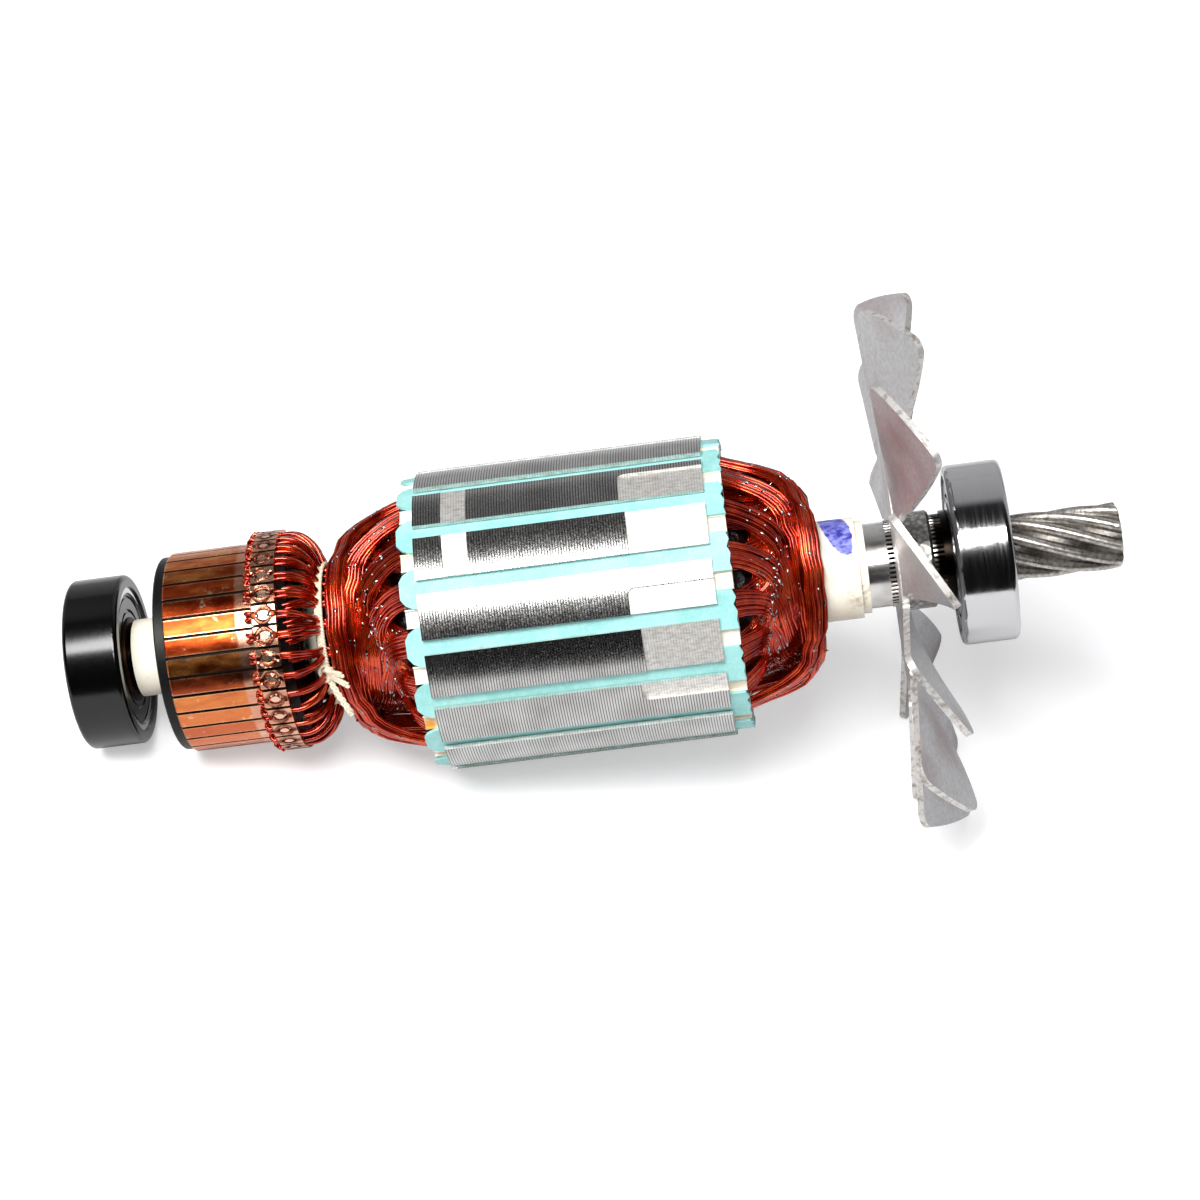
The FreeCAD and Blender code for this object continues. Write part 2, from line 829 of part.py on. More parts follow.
end_turns_left()
end_turns_right()


# Commutator: copper bars held in a black moulding on a bush, with a band at each end.


def commutator_bars():
    start = size["commutator_start"]
    finish = size["riser_end"]
    root = size["bar_root_radius"]
    band = size["band_radius"]
    band_top = band + size["band_wall"]
    edge = size["bar_edge"]
    body = turned("bars_blank", [
        (start, root),
        (start, band),
        (start + size["band_length"], band),
        (start + size["band_length"], band_top),
        (start, band_top),
        (start, size["commutator_radius"] - edge),
        (start + edge, size["commutator_radius"]),
        (size["riser_start"], size["commutator_radius"]),
        (size["riser_start"], size["riser_radius"] - edge),
        (size["riser_start"] + edge, size["riser_radius"]),
        (finish, size["riser_radius"]),
        (finish, band_top),
        (finish - size["band_length"], band_top),
        (finish - size["band_length"], band),
        (finish, band),
        (finish, root),
    ])
    gap = size["bar_gap"] / 2
    pocket_across(body, [
        (gap, size["riser_radius"] + 1),
        (gap, root - 1),
        (-gap, root - 1),
        (-gap, size["riser_radius"] + 1),
    ], start - 1, finish - start + 2, size["bar_count"])
    staked = doc.addObject("Part::Cut", "commutator_bars")
    staked.Label = "commutator_bars"
    staked.Base = body
    staked.Tool = stake_marks()
    doc.recompute()
    keep(staked, from_top("bar_phase"))


def stake_marks():
    """Lens-shaped grooves that the staking punch leaves around a hump, one on top of each riser."""
    length = number("stake_length")
    width = number("stake_width")
    radius = (length ** 2 + width ** 2) / (4 * width)
    middle = (number("riser_start") + number("riser_end")) / 2
    floor = number("riser_radius") - number("stake_depth")
    lenses = []
    for share in (1.0, 0.55):
        aside = (radius - width / 2) * share
        upper, lower = [Part.makeCylinder(radius * share, 5, Vector(middle, aside * way, floor))
                        for way in (1, -1)]
        lenses.append(upper.common(lower))
    mark = lenses[0].cut(lenses[1])
    pitch = 360 / number("bar_count")
    marks = doc.addObject("Part::Feature", "stake_marks")
    bars = range(int(number("bar_count")))
    marks.Shape = Part.makeCompound([
        mark.rotated(Vector(), SHAFT_AXIS, pitch * (bar + 0.5)) for bar in bars
    ])
    return marks


def commutator_moulding():
    start = size["commutator_start"]
    finish = size["riser_end"]
    root = size["bar_root_radius"]
    band_top = size["band_radius"] + size["band_wall"]
    body = turned("commutator_moulding", [
        (size["moulding_start"], size["bush_radius"]),
        (size["moulding_start"], size["moulding_radius"] - size["bar_edge"]),
        (size["moulding_start"] + size["bar_edge"], size["moulding_radius"]),
        (start, size["moulding_radius"]),
        (start, root),
        (finish, root),
        (finish, size["moulding_radius"]),
        (size["moulding_end"], size["moulding_radius"] - 1),
        (size["moulding_end"], size["bush_radius"]),
    ])
    rib_top = size["commutator_radius"] - size["undercut"]
    pad_around(body, "XZ_Plane", [
        (start, band_top),
        (start, rib_top),
        (finish, rib_top),
        (finish, band_top),
        (finish - size["band_length"], band_top),
        (finish - size["band_length"], root - 0.5),
        (start + size["band_length"], root - 0.5),
        (start + size["band_length"], band_top),
    ], None, size["bar_gap"], size["bar_count"], both_ways=True)
    keep(body, from_top("bar_phase"))


def commutator_bands():
    """A steel band seated in the ends of the bars, one at each end."""
    rings = []
    left = size["commutator_start"]
    right = size["riser_end"] - size["band_length"]
    for name, start in (("band_left", left), ("band_right", right)):
        rings.append(turned(name, [
            (start, size["band_radius"]),
            (start, size["band_radius"] + size["band_wall"]),
            (start + size["band_length"], size["band_radius"] + size["band_wall"]),
            (start + size["band_length"], size["band_radius"]),
        ]))
    pair = doc.addObject("Part::Compound", "commutator_bands")
    pair.Label = "commutator_bands"
    pair.Links = rings
    keep(pair)


commutator_bars()
commutator_moulding()
commutator_bands()
keep(turned("commutator_bush", [
    (size["moulding_start"], size["tube_left_radius"]),
    (size["moulding_start"], size["bush_radius"]),
    (size["moulding_end"], size["bush_radius"]),
    (size["moulding_end"], size["tube_left_radius"]),
]))


# Lead wires: a pair from each riser, bending over the shoulder down to the neck, where a cord ties
# them. The cord has a knot in front and short tails.


def lead_wires():
    body = new_body("lead_wires")
    riser = size["riser_end"]
    neck = size["neck_place"]
    reach = neck - riser
    top = size["riser_radius"] - 0.6
    low = size["neck_radius"]
    drop = top - low
    deep = size["lead_depth"]
    pad_around(body, "XZ_Plane", [
        (riser, top),
        (riser + reach * 0.35, top - drop * 0.06),
        (riser + reach * 0.66, top - drop * 0.24),
        (riser + reach * 0.87, top - drop * 0.52),
        (neck, low + deep * 0.6),
        (neck, low - deep),
        (riser + reach * 0.87 - deep, low),
        (riser + reach * 0.87 - deep, top - drop * 0.56),
        (riser + reach * 0.66 - deep * 0.6, top - drop * 0.24 - deep),
        (riser + reach * 0.35, top - drop * 0.06 - deep),
        (riser, top - deep),
    ], None, size["lead_wire"], size["bar_count"], both_ways=True)
    keep(body, from_top("bar_phase") + 180 / number("bar_count"))


def binding_cord():
    start = size["neck_place"] + 0.3
    strand = size["cord_width"] / 2
    low = size["neck_radius"]
    top = low + size["cord_wall"]
    ring = turned("cord_ring", [
        (start, low),
        (start, top - 0.2),
        (start + 0.2, top),
        (start + strand - 0.15, top),
        (start + strand, top - 0.25),
        (start + strand + 0.15, top),
        (start + strand * 2 - 0.2, top),
        (start + strand * 2, top - 0.2),
        (start + strand * 2, low),
    ])
    knot = doc.addObject("Part::Sphere", "cord_knot")
    bind(knot, "Radius", size["knot_radius"])
    bind(knot, "Placement.Base.x", start + strand)
    bind(knot, "Placement.Base.z", top + size["knot_radius"] / 2)
    doc.recompute()
    tied = doc.addObject("Part::MultiFuse", "binding_cord")
    tied.Label = "binding_cord"
    tied.Shapes = [ring, knot] + cord_tails(knot)
    doc.recompute()
    keep(tied, from_top("knot_phase"))


def cord_tails(knot):
    """Flat ends of the cord, each from the knot to a point given along, sideways and up from it."""
    width = number("tail_width")
    wall = number("tail_wall")
    origin = knot.Placement.Base
    tails = []
    for along, sideways, up in ((3.2, 1.2, 4.4), (4.0, -0.6, 5.3), (4.4, -6.6, 4.8)):
        reach = Vector(along, sideways, up)
        strip = Part.makeBox(reach.Length, width, wall, Vector(0, -width / 2, -wall / 2))
        tail = doc.addObject("Part::Feature", "cord_tail")
        tail.Shape = strip
        tail.Placement = Placement(origin, Rotation(SHAFT_AXIS, reach))
        tails.append(tail)
    return tails


lead_wires()
binding_cord()


# Cooling fan: one stamped sheet. The disc ends in twelve blades, with a round notch between every two.
# Each blade twists as soon as it leaves the disc, so that the edge which follows stands further from
# the windings than the edge which leads.


def blade_section(share):
    """Four corners of the blade's section across its own length, at a share of root to tip."""
    root = number("fan_disc_radius") - 1.0
    tip = number("fan_radius") + 1.0
    up = root + (tip - root) * share
    turn = math.radians(number("blade_tip_angle")) * (1 - (1 - share) ** 2.4)
    root_chord = number("blade_root_chord")
    chord = root_chord + (number("blade_tip_chord") - root_chord) * share
    wall = number("fan_sheet")
    lead = number("fan_face") + wall / 2 - number("blade_lead") * share
    along = Vector(math.sin(turn), -math.cos(turn), 0)
    across = Vector(math.cos(turn), math.sin(turn), 0)
    first = Vector(lead, chord / 2 * math.cos(turn), up)
    last = first + along * chord
    half = across * (wall / 2)
    return [first - half, last - half, last + half, first + half]


def blade():
    """One blade on +Z: a loft from root to tip, trimmed to the fan's radius, corners rounded."""
    shares = (0.0, 0.08, 0.18, 0.32, 0.55, 0.8, 1.0)
    wires = [Part.makePolygon(corners + corners[:1]) for corners in map(blade_section, shares)]
    loft = Part.makeLoft(wires, True, False)
    start = number("fan_face") - 10
    rim = Part.makeCylinder(number("fan_radius"), 40, Vector(start, 0, 0), SHAFT_AXIS)
    trimmed = loft.common(rim)
    wall = number("fan_sheet")
    limit = number("fan_radius") - 0.6
    corners = []
    for edge in trimmed.Edges:
        ends = [math.hypot(vertex.Y, vertex.Z) for vertex in edge.Vertexes]
        if len(ends) == 2 and min(ends) > limit and edge.Length < wall * 1.5:
            corners.append(edge)
    return trimmed.makeFillet(number("blade_corner"), corners)


def cooling_fan():
    disc = turned("fan_disc", [
        (size["fan_face"], size["knurl_radius"]),
        (size["fan_face"], size["fan_disc_radius"]),
        (size["fan_face"] + size["fan_sheet"], size["fan_disc_radius"]),
        (size["fan_face"] + size["fan_sheet"], size["knurl_radius"]),
    ])
    pitch = 360 / number("blade_count")
    places = [pitch * turn for turn in range(int(number("blade_count")))]
    blades = doc.addObject("Part::Feature", "fan_blades")
    one = blade()
    blades.Shape = Part.makeCompound([one.rotated(Vector(), SHAFT_AXIS, place) for place in places])
    stamped = doc.addObject("Part::MultiFuse", "fan_stamping")
    stamped.Shapes = [disc, blades]
    base = Vector(number("fan_face") - 4, 0, number("notch_place"))
    punch = Part.makeCylinder(number("notch_radius"), 12, base, SHAFT_AXIS)
    punches = doc.addObject("Part::Feature", "fan_notches")
    punches.Shape = Part.makeCompound([
        punch.rotated(Vector(), SHAFT_AXIS, place + pitch / 2) for place in places
    ])
    whole = doc.addObject("Part::Cut", "cooling_fan")
    whole.Label = "cooling_fan"
    whole.Base = stamped
    whole.Tool = punches
    doc.recompute()
    assert whole.Shape.Volume < stamped.Shape.Volume, "the notches cut nothing"
    keep(whole, from_top("blade_phase"))


cooling_fan()
keep(turned("fan_collar", [
    (size["fan_face"] + size["fan_sheet"], size["knurl_radius"]),
    (size["fan_face"] + size["fan_sheet"], size["collar_radius"]),
    (size["collar_end"] - size["collar_edge"], size["collar_radius"]),
    (size["collar_end"], size["collar_radius"] - size["collar_edge"]),
    (size["collar_end"], size["knurl_radius"]),
]))


# Ball bearings: two rings with races, balls in a cage, and a rubber seal in each side.
# The outer ring turns on the balls; balls and cage go round at a share of its turn.


def seal_outline(face, wall, low, seat):
    """Section of a seal from its visible face inwards, with two round grooves in that face."""
    groove = size["seal_groove"]
    if wall.value < 0:
        groove = -groove
    reach = seat - low
    corners = [(face, low)]
    for inner, outer in ((0.2, 0.34), (0.78, 0.9)):
        corners += [
            (face, low + reach * inner),
            (face + groove, low + reach * inner),
            (face + groove, low + reach * outer),
            (face, low + reach * outer),
        ]
    return corners + [(face, seat), (face + wall, seat), (face + wall, low)]


def bearing(prefix, start, width, bore, outer, ball_radius, ball_count, ring_edge):
    middle = start + width / 2
    finish = start + width
    pitch_radius = (bore + outer) / 2
    shoulder = ball_radius * size["shoulder_share"]
    inner_top = pitch_radius - shoulder
    outer_low = pitch_radius + shoulder
    seat = outer - size["seal_seat"]
    depth = size["seal_wall"] + size["seal_depth"]
    race = ball_radius * size["race_ratio"]
    inner_ring = turned(prefix + "_inner_ring", [
        (start, bore),
        (start, inner_top),
        (finish, inner_top),
        (finish, bore),
    ])
    groove_race(inner_ring, middle, pitch_radius - ball_radius - size["ball_play"] + race, race)
    keep(inner_ring)
    outer_ring = turned(prefix + "_outer_ring", [
        (start, seat),
        (start, outer),
        (finish, outer),
        (finish, seat),
        (finish - depth, seat),
        (finish - depth, outer_low),
        (start + depth, outer_low),
        (start + depth, seat),
    ])
    groove_race(outer_ring, middle, pitch_radius + ball_radius + size["ball_play"] - race, race)
    round_edges(outer_ring, ring_edge, rim_edges(outer))
    keep(outer_ring)
    low = inner_top + size["seal_play"]
    wall = size["seal_wall"]
    keep(turned(prefix + "_seal_left", seal_outline(start + size["seal_depth"], wall, low, seat)))
    keep(turned(prefix + "_seal_right", seal_outline(finish - size["seal_depth"], -wall, low, seat)))
    balls = []
    pockets = []
    for place in range(int(as_size(ball_count).value)):
        angle = (place + 0.5) * 2 * math.pi / ball_count.value
        for radius, group in ((ball_radius, balls), (ball_radius + size["cage_play"], pockets)):
            ball = doc.addObject("Part::Sphere", prefix + "_sphere")
            bind(ball, "Radius", radius)
            bind(ball, "Placement.Base.x", middle)
            bind(ball, "Placement.Base.y", pitch_radius * math.sin(angle))
            bind(ball, "Placement.Base.z", pitch_radius * math.cos(angle))
            group.append(ball)
    set_of_balls = doc.addObject("Part::Compound", prefix + "_balls")
    set_of_balls.Label = prefix + "_balls"
    set_of_balls.Links = balls
    windows = doc.addObject("Part::Compound", prefix + "_windows")
    windows.Links = pockets
    reach = ball_radius + size["cage_margin"]
    blank = turned(prefix + "_cage_blank", [
        (middle - reach, pitch_radius - size["cage_wall"] / 2),
        (middle - reach, pitch_radius + size["cage_wall"] / 2),
        (middle + reach, pitch_radius + size["cage_wall"] / 2),
        (middle + reach, pitch_radius - size["cage_wall"] / 2),
    ])
    cage = doc.addObject("Part::Cut", prefix + "_cage")
    cage.Label = prefix + "_cage"
    cage.Base = blank
    cage.Tool = windows
    doc.recompute()
    keep(set_of_balls)
    keep(cage)


bearing("pinion_bearing", size["fan_bearing_start"], size["fan_bearing_width"], size["fan_bearing_bore"],
        size["fan_bearing_radius"], size["fan_ball_radius"], size["fan_ball_count"],
        size["fan_ring_edge"])
bearing("tail_bearing", size["tail_bearing_end"] - size["tail_bearing_width"], size["tail_bearing_width"],
        size["tail_bearing_bore"], size["tail_bearing_radius"], size["tail_ball_radius"],
        size["tail_ball_count"], size["tail_ring_edge"])


def bearing_boot():
    """Rubber cup over the commutator-end bearing, with a lip at each side of it."""
    bearing_start = size["tail_bearing_end"] - size["tail_bearing_width"]
    boot = turned("bearing_boot", [
        (size["boot_start"], size["boot_lip"]),
        (size["boot_start"], size["boot_radius"]),
        (size["boot_end"], size["boot_radius"]),
        (size["boot_end"], size["tail_bearing_radius"] - size["boot_seat_lip"]),
        (size["tail_bearing_end"], size["tail_bearing_radius"] - size["boot_seat_lip"]),
        (size["tail_bearing_end"], size["tail_bearing_radius"]),
        (bearing_start, size["tail_bearing_radius"]),
        (bearing_start, size["boot_lip"]),
    ])
    round_edges(boot, size["boot_edge"], rim_edges(size["boot_radius"]))
    keep(boot)


bearing_boot()


# Laying the armature down: it leans on the rim of the boot and rocks until it stands on two blades.


def outline_points(piece, step):
    """Points on the edges of a piece, as it stands in the shaft's frame."""
    points = []
    for edge in piece.Shape.Edges:
        points += edge.discretize(max(2, int(edge.Length / step)))
    return points


def lowest(points, turn):
    return min(turn.multVec(point).z for point in points)


def lean(fan_points, boot_points, roll):
    """The slope of the shaft at which boot and fan stand level, for one turn about the shaft."""
    low, high = 0.0, 30.0
    for _ in range(30):
        slope = (low + high) / 2
        turn = Rotation(Vector(0, 1, 0), -slope) * Rotation(SHAFT_AXIS, roll)
        if lowest(fan_points, turn) < lowest(boot_points, turn):
            low = slope
        else:
            high = slope
    return slope


def resting_turn(shown_roll):
    """Rock about the shaft, within one blade, to where the shaft slopes least."""
    by_label = {piece.Label: piece for piece in subparts}
    rim = number("fan_radius") - 5
    fan_points = [point for point in outline_points(by_label["cooling_fan"], 0.5)
                  if math.hypot(point.y, point.z) > rim]
    boot_points = outline_points(by_label["bearing_boot"], 0.5)
    half_pitch = 180 / number("blade_count")
    rolls = [shown_roll + half_pitch * step / 30 for step in range(-30, 31)]
    best = min(rolls, key=lambda roll: lean(fan_points, boot_points, roll))
    for fine in (0.25, 0.05):
        near = [best + fine * step for step in range(-4, 5)]
        best = min(near, key=lambda roll: lean(fan_points, boot_points, roll))
    slope = lean(fan_points, boot_points, best)
    turn = Rotation(Vector(0, 1, 0), -slope) * Rotation(SHAFT_AXIS, best)
    print(f"rest: slope {slope:.3f} deg, roll {best:.3f} deg")
    return turn, -lowest(fan_points, turn)


def lay_down():
    turn, height = resting_turn(-number("shown_height"))
    bounds = FreeCAD.BoundBox()
    for piece in subparts:
        if piece.Label in ("shaft", "cooling_fan", "bearing_boot"):
            for point in outline_points(piece, 0.5):
                bounds.add(turn.multVec(point))
    pose = Placement(Vector(-bounds.Center.x, -bounds.Center.y, height), turn)
    for piece in subparts:
        piece.Placement = pose * piece.Placement
    print("pose", pose)


lay_down()


def check_and_write():
    """Nothing may be left failed, and every sub-part has to be a valid shape with solids."""
    doc.recompute()
    for feature in doc.Objects:
        assert not {"Invalid", "Error"} & set(feature.State), f"{feature.Label} failed"
    os.makedirs("parts", exist_ok=True)
    for piece in subparts:
        shape = piece.Shape
        assert not shape.isNull() and shape.isValid() and shape.Solids, f"{piece.Label} is not sound"
        shape.exportStep(os.path.join("parts", piece.Label + ".step"))
        print(f"{piece.Label}: {len(shape.Solids)} solids, {shape.Volume:.1f} cubic mm")


check_and_write()
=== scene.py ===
import json
import math
import random

import bpy
from mathutils import Matrix, Vector


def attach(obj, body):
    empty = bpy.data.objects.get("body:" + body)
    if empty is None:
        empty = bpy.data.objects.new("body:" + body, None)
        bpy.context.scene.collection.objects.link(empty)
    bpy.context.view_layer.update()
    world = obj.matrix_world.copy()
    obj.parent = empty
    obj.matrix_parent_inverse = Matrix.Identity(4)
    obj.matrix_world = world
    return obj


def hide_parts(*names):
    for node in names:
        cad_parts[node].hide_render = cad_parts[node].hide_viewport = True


# Motor armature of a universal motor, lying on its fan and its bearing boot.
# The frame holds the solids. This script gives each its finish, winds the coils wire by wire, plaits
# the binding cord and lights a small table-top studio.

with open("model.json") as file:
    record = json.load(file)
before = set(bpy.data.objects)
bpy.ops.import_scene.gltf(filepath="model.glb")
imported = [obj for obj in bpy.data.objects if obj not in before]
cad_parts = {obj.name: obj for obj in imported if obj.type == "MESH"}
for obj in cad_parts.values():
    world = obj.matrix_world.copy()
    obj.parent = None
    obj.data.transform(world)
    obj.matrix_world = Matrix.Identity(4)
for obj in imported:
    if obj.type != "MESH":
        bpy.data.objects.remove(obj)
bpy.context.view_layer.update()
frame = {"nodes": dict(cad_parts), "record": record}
nodes = frame["nodes"]

MM = 0.001


# Where the shaft lies.
# The frame gives the shaft's axis and the middle of the pinion-end bearing. The stack's face on the
# commutator side is zero along the shaft. Angles turn about the shaft from the side that shows.

SHAFT_ROLL = -39.55
BEARING_ALONG = 106.1

seat = next(mount for mount in frame["record"]["mounts"] if mount["name"] == "pinion_bearing_seat")
shaft_axis = Vector(seat["axis"])
shaft_slope = math.asin(shaft_axis.z)
shaft_turn = Matrix.Rotation(-shaft_slope, 4, "Y") @ Matrix.Rotation(math.radians(SHAFT_ROLL), 4, "X")
shaft_zero = Vector(seat["pos_m"]) - shaft_axis * (BEARING_ALONG * MM)
shaft_frame = Matrix.Translation(shaft_zero) @ shaft_turn


def on_shaft(along, radius=0.0, angle=0.0):
    """A point by its place along the shaft, its radius and its angle, in millimetres and degrees."""
    turn = math.radians(angle)
    return shaft_frame @ (Vector((along, -radius * math.cos(turn), -radius * math.sin(turn))) * MM)


# Camera.
# It looks down on the armature from the side, about level with the stack's left half, through a long
# lens, and is turned a little so that the shaft rises to the right.

CAMERA_ALONG = 71.9
CAMERA_DISTANCE = 581.0
AIM_ALONG = 31.9
IMAGE_SLOPE = 7.19
LENS = 89.58


def new_object(name, data):
    """An object of some data, linked into the scene."""
    thing = bpy.data.objects.new(name, data)
    bpy.context.scene.collection.objects.link(thing)
    return thing


camera_data = bpy.data.cameras.new("camera")
camera_data.lens = LENS
camera_data.sensor_width = 36.0
camera_data.clip_end = 20.0
camera = new_object("camera", camera_data)
bpy.context.scene.camera = camera
camera_place = on_shaft(CAMERA_ALONG, CAMERA_DISTANCE, 0.0)
ahead = (on_shaft(AIM_ALONG) - camera_place).normalized()
across = (shaft_axis - ahead * shaft_axis.dot(ahead)).normalized()
right = Matrix.Rotation(math.radians(IMAGE_SLOPE), 3, ahead) @ across
up = right.cross(ahead)
camera.matrix_world = Matrix.Translation(camera_place) @ Matrix((right, up, -ahead)).transposed().to_4x4()


# Table and light.
# White paper swept up behind the armature and one soft box over it, a little towards the camera. The
# room in front is dark and the ceiling pales towards the back, so polished steel shows black bands. A
# dark flag hangs over the middle of the table.

TABLE_FRONT = -0.26
TABLE_BACK = 0.9
TABLE_HALF_WIDTH = 1.6
SWEEP_RADIUS = 0.35
SWEEP_STEPS = 12
BACKDROP_TOP = 0.85
SOFT_BOX_HEIGHT = 60.5
SOFT_BOX_SIDE = -16.0
SOFT_BOX_DISTANCE = 0.95
SOFT_BOX_SIZE = (0.56, 0.38)
SOFT_BOX_POWER = 13.0
LIT_ALONG = 30.0
PAPER_GLOW = 0.42


def linear(hex_colour):
    """An sRGB hex value as linear red, green, blue and alpha."""
    channels = [int(hex_colour[i:i + 2], 16) / 255 for i in (1, 3, 5)]
    return [c / 12.92 if c <= 0.04045 else ((c + 0.055) / 1.055) ** 2.4 for c in channels] + [1.0]


def add(tree, kind, inputs=(), stops=(), **settings):
    """Add a node with its settings; each input gets a value, a hex colour or a link."""
    node = tree.nodes.new(kind)
    for name, value in settings.items():
        setattr(node, name, value)
    for index, (place, colour) in enumerate(stops):
        elements = node.color_ramp.elements
        element = elements[index] if index < len(elements) else elements.new(place)
        element.position, element.color = place, linear(colour)
    for key, value in inputs.items() if isinstance(inputs, dict) else enumerate(inputs):
        socket = node.inputs[key]
        if isinstance(value, bpy.types.Node):
            value = next(output for output in value.outputs if output.enabled)
        if isinstance(value, bpy.types.NodeSocket):
            tree.links.new(value, socket)
        else:
            socket.default_value = linear(value) if isinstance(value, str) else value
    return node


def mix(tree, share, one, other):
    """A colour between two."""
    return add(tree, "ShaderNodeMix", {0: share, 6: one, 7: other}, data_type="RGBA")


def maths(tree, operation, *values):
    """One step of reckoning."""
    return add(tree, "ShaderNodeMath", values, operation=operation)


def rescaled(tree, value, *ends):
    """A value carried from one range to another, or to a share from nought to one."""
    return add(tree, "ShaderNodeMapRange", (value, *ends))


def skin(tree, inputs):
    """The surface that ends a material."""
    add(tree, "ShaderNodeOutputMaterial", {"Surface": add(tree, "ShaderNodeBsdfPrincipled", inputs)})


def new_material(name):
    """A material and its empty tree."""
    material = bpy.data.materials.new(name)
    material.use_nodes = True
    material.node_tree.nodes.clear()
    return material, material.node_tree


table_mesh = bpy.data.meshes.new("white_paper")
profile = [(TABLE_FRONT, 0.0)]
for step in range(SWEEP_STEPS + 1):
    turn = math.radians(90.0 * step / SWEEP_STEPS)
    profile.append((TABLE_BACK + SWEEP_RADIUS * math.sin(turn), SWEEP_RADIUS * (1 - math.cos(turn))))
profile.append((TABLE_BACK + SWEEP_RADIUS, BACKDROP_TOP))
corners = [(side * TABLE_HALF_WIDTH, y, z) for y, z in profile for side in (-1, 1)]
faces = [(2 * i, 2 * i + 1, 2 * i + 3, 2 * i + 2) for i in range(len(profile) - 1)]
table_mesh.from_pydata(corners, [], faces)
for face in table_mesh.polygons:
    face.use_smooth = True
table = new_object("white_paper", table_mesh)

# Matte drawing paper: it answers the camera with plain white and keeps the soft shadow.
paper, tree = new_material("matte_white_paper")
to_camera = add(tree, "ShaderNodeLightPath").outputs["Is Camera Ray"]
skin(tree, {
    "Base Color": "#dcdcdd",
    "Roughness": 0.9,
    "Specular IOR Level": 0.1,
    "Emission Color": "#ffffff",
    "Emission Strength": maths(tree, "MULTIPLY", to_camera, PAPER_GLOW),
})
table_mesh.materials.append(paper)

soft_box_data = bpy.data.lights.new("soft_box", "AREA")
soft_box_data.shape = "RECTANGLE"
soft_box_data.size, soft_box_data.size_y = SOFT_BOX_SIZE
soft_box_data.energy = SOFT_BOX_POWER
soft_box = new_object("soft_box", soft_box_data)
height, aside = math.radians(SOFT_BOX_HEIGHT), math.radians(SOFT_BOX_SIDE)
towards = Vector((math.sin(aside), -math.cos(aside) * math.cos(height), math.cos(aside) * math.sin(height)))
soft_box.matrix_world = (Matrix.Translation(on_shaft(LIT_ALONG) + towards * SOFT_BOX_DISTANCE)
                         @ towards.to_track_quat("Z", "Y").to_matrix().to_4x4())

world = bpy.data.worlds.new("studio_room")
bpy.context.scene.world = world
world.use_nodes = True
tree = world.node_tree
tree.nodes.clear()
path = add(tree, "ShaderNodeLightPath")
direction = add(tree, "ShaderNodeTexCoord").outputs["Generated"]
x, y, z = add(tree, "ShaderNodeSeparateXYZ", (direction,)).outputs
front = maths(tree, "MULTIPLY", y, -1.0)
overhead = maths(tree, "ARCTAN2", z, front)
ceiling = add(tree, "ShaderNodeValToRGB", (maths(tree, "DIVIDE", overhead, math.pi),), [
    (0.45, "#0e0e0f"), (0.555, "#303031"), (0.61, "#a6a6a8"), (1.0, "#c6c6c8")])
flag = add(tree, "ShaderNodeValToRGB", (rescaled(tree, x, -0.5, 0.0),), [
    (0.16, "#ffffff"), (0.26, "#909090"), (0.58, "#909090"), (0.72, "#ffffff")])
above = add(tree, "ShaderNodeMix", {
    0: 1.0, 6: ceiling, 7: flag}, data_type="RGBA", blend_type="MULTIPLY")
unlit = mix(tree, path.outputs["Is Glossy Ray"], "#a4a4a6", above)
room = mix(tree, path.outputs["Is Camera Ray"], unlit, "#ffffff")
add(tree, "ShaderNodeOutputWorld", {"Surface": add(tree, "ShaderNodeBackground", {"Color": room})})

bpy.context.scene.view_settings.view_transform = "Standard"


# Shaft.
# Case-hardened steel bar, ground to size; the knurl that holds the fan is rolled in, and the helical
# pinion is hobbed from the same bar. Oil has darkened the knurl and the tooth spaces.

KNURL_START = 88.2
KNURL_RADIUS = 8.45
OIL_AND_SHADE_ENDS = (97.4, 109.5)
TAIL_END = (-70.0, -56.6)
PINION_START = 112.0
PINION_RADII = (6.43, 4.95)
ALL_ROUND = (-190.0, 190.0)


def shaft_places(tree):
    """Object coordinates in the shaft's frame, and the place along, radius and angle there."""
    back = shaft_frame.inverted()
    place = add(tree, "ShaderNodeMapping", {
        "Vector": add(tree, "ShaderNodeTexCoord").outputs["Object"],
        "Location": back.to_translation(),
        "Rotation": back.to_euler(),
    })
    along, y, z = add(tree, "ShaderNodeSeparateXYZ", (place,)).outputs
    flat = add(tree, "ShaderNodeVectorMath", (place, (0.0, 1.0, 1.0)), operation="MULTIPLY")
    radius = add(tree, "ShaderNodeVectorMath", (flat,), operation="LENGTH").outputs["Value"]
    down = maths(tree, "MULTIPLY", z, -1.0)
    forward = maths(tree, "MULTIPLY", y, -1.0)
    angle = maths(tree, "ARCTAN2", down, forward).outputs["Value"]
    return place.outputs["Vector"], along, radius, angle


def stretched(tree, place, scale):
    """A place stretched along the axes, for grain that runs one way."""
    return add(tree, "ShaderNodeMapping", {"Vector": place, "Scale": scale})


def noise(tree, place, size, detail, roughness=0.5):
    """Clouds of a size in millimetres."""
    return add(tree, "ShaderNodeTexNoise", {
        "Vector": place, "Scale": 1000 / size, "Detail": detail, "Roughness": roughness})


def blend(tree, share, one, other):
    """A number between two."""
    return add(tree, "ShaderNodeMix", {0: share, 2: one, 3: other})


def bump(tree, height, distance, strength, under=None, **settings):
    """Relief of a height in millimetres, over another where one is given."""
    inputs = {"Height": height, "Distance": distance * MM, "Strength": strength}
    if under is not None:
        inputs["Normal"] = under
    return add(tree, "ShaderNodeBump", inputs, **settings)


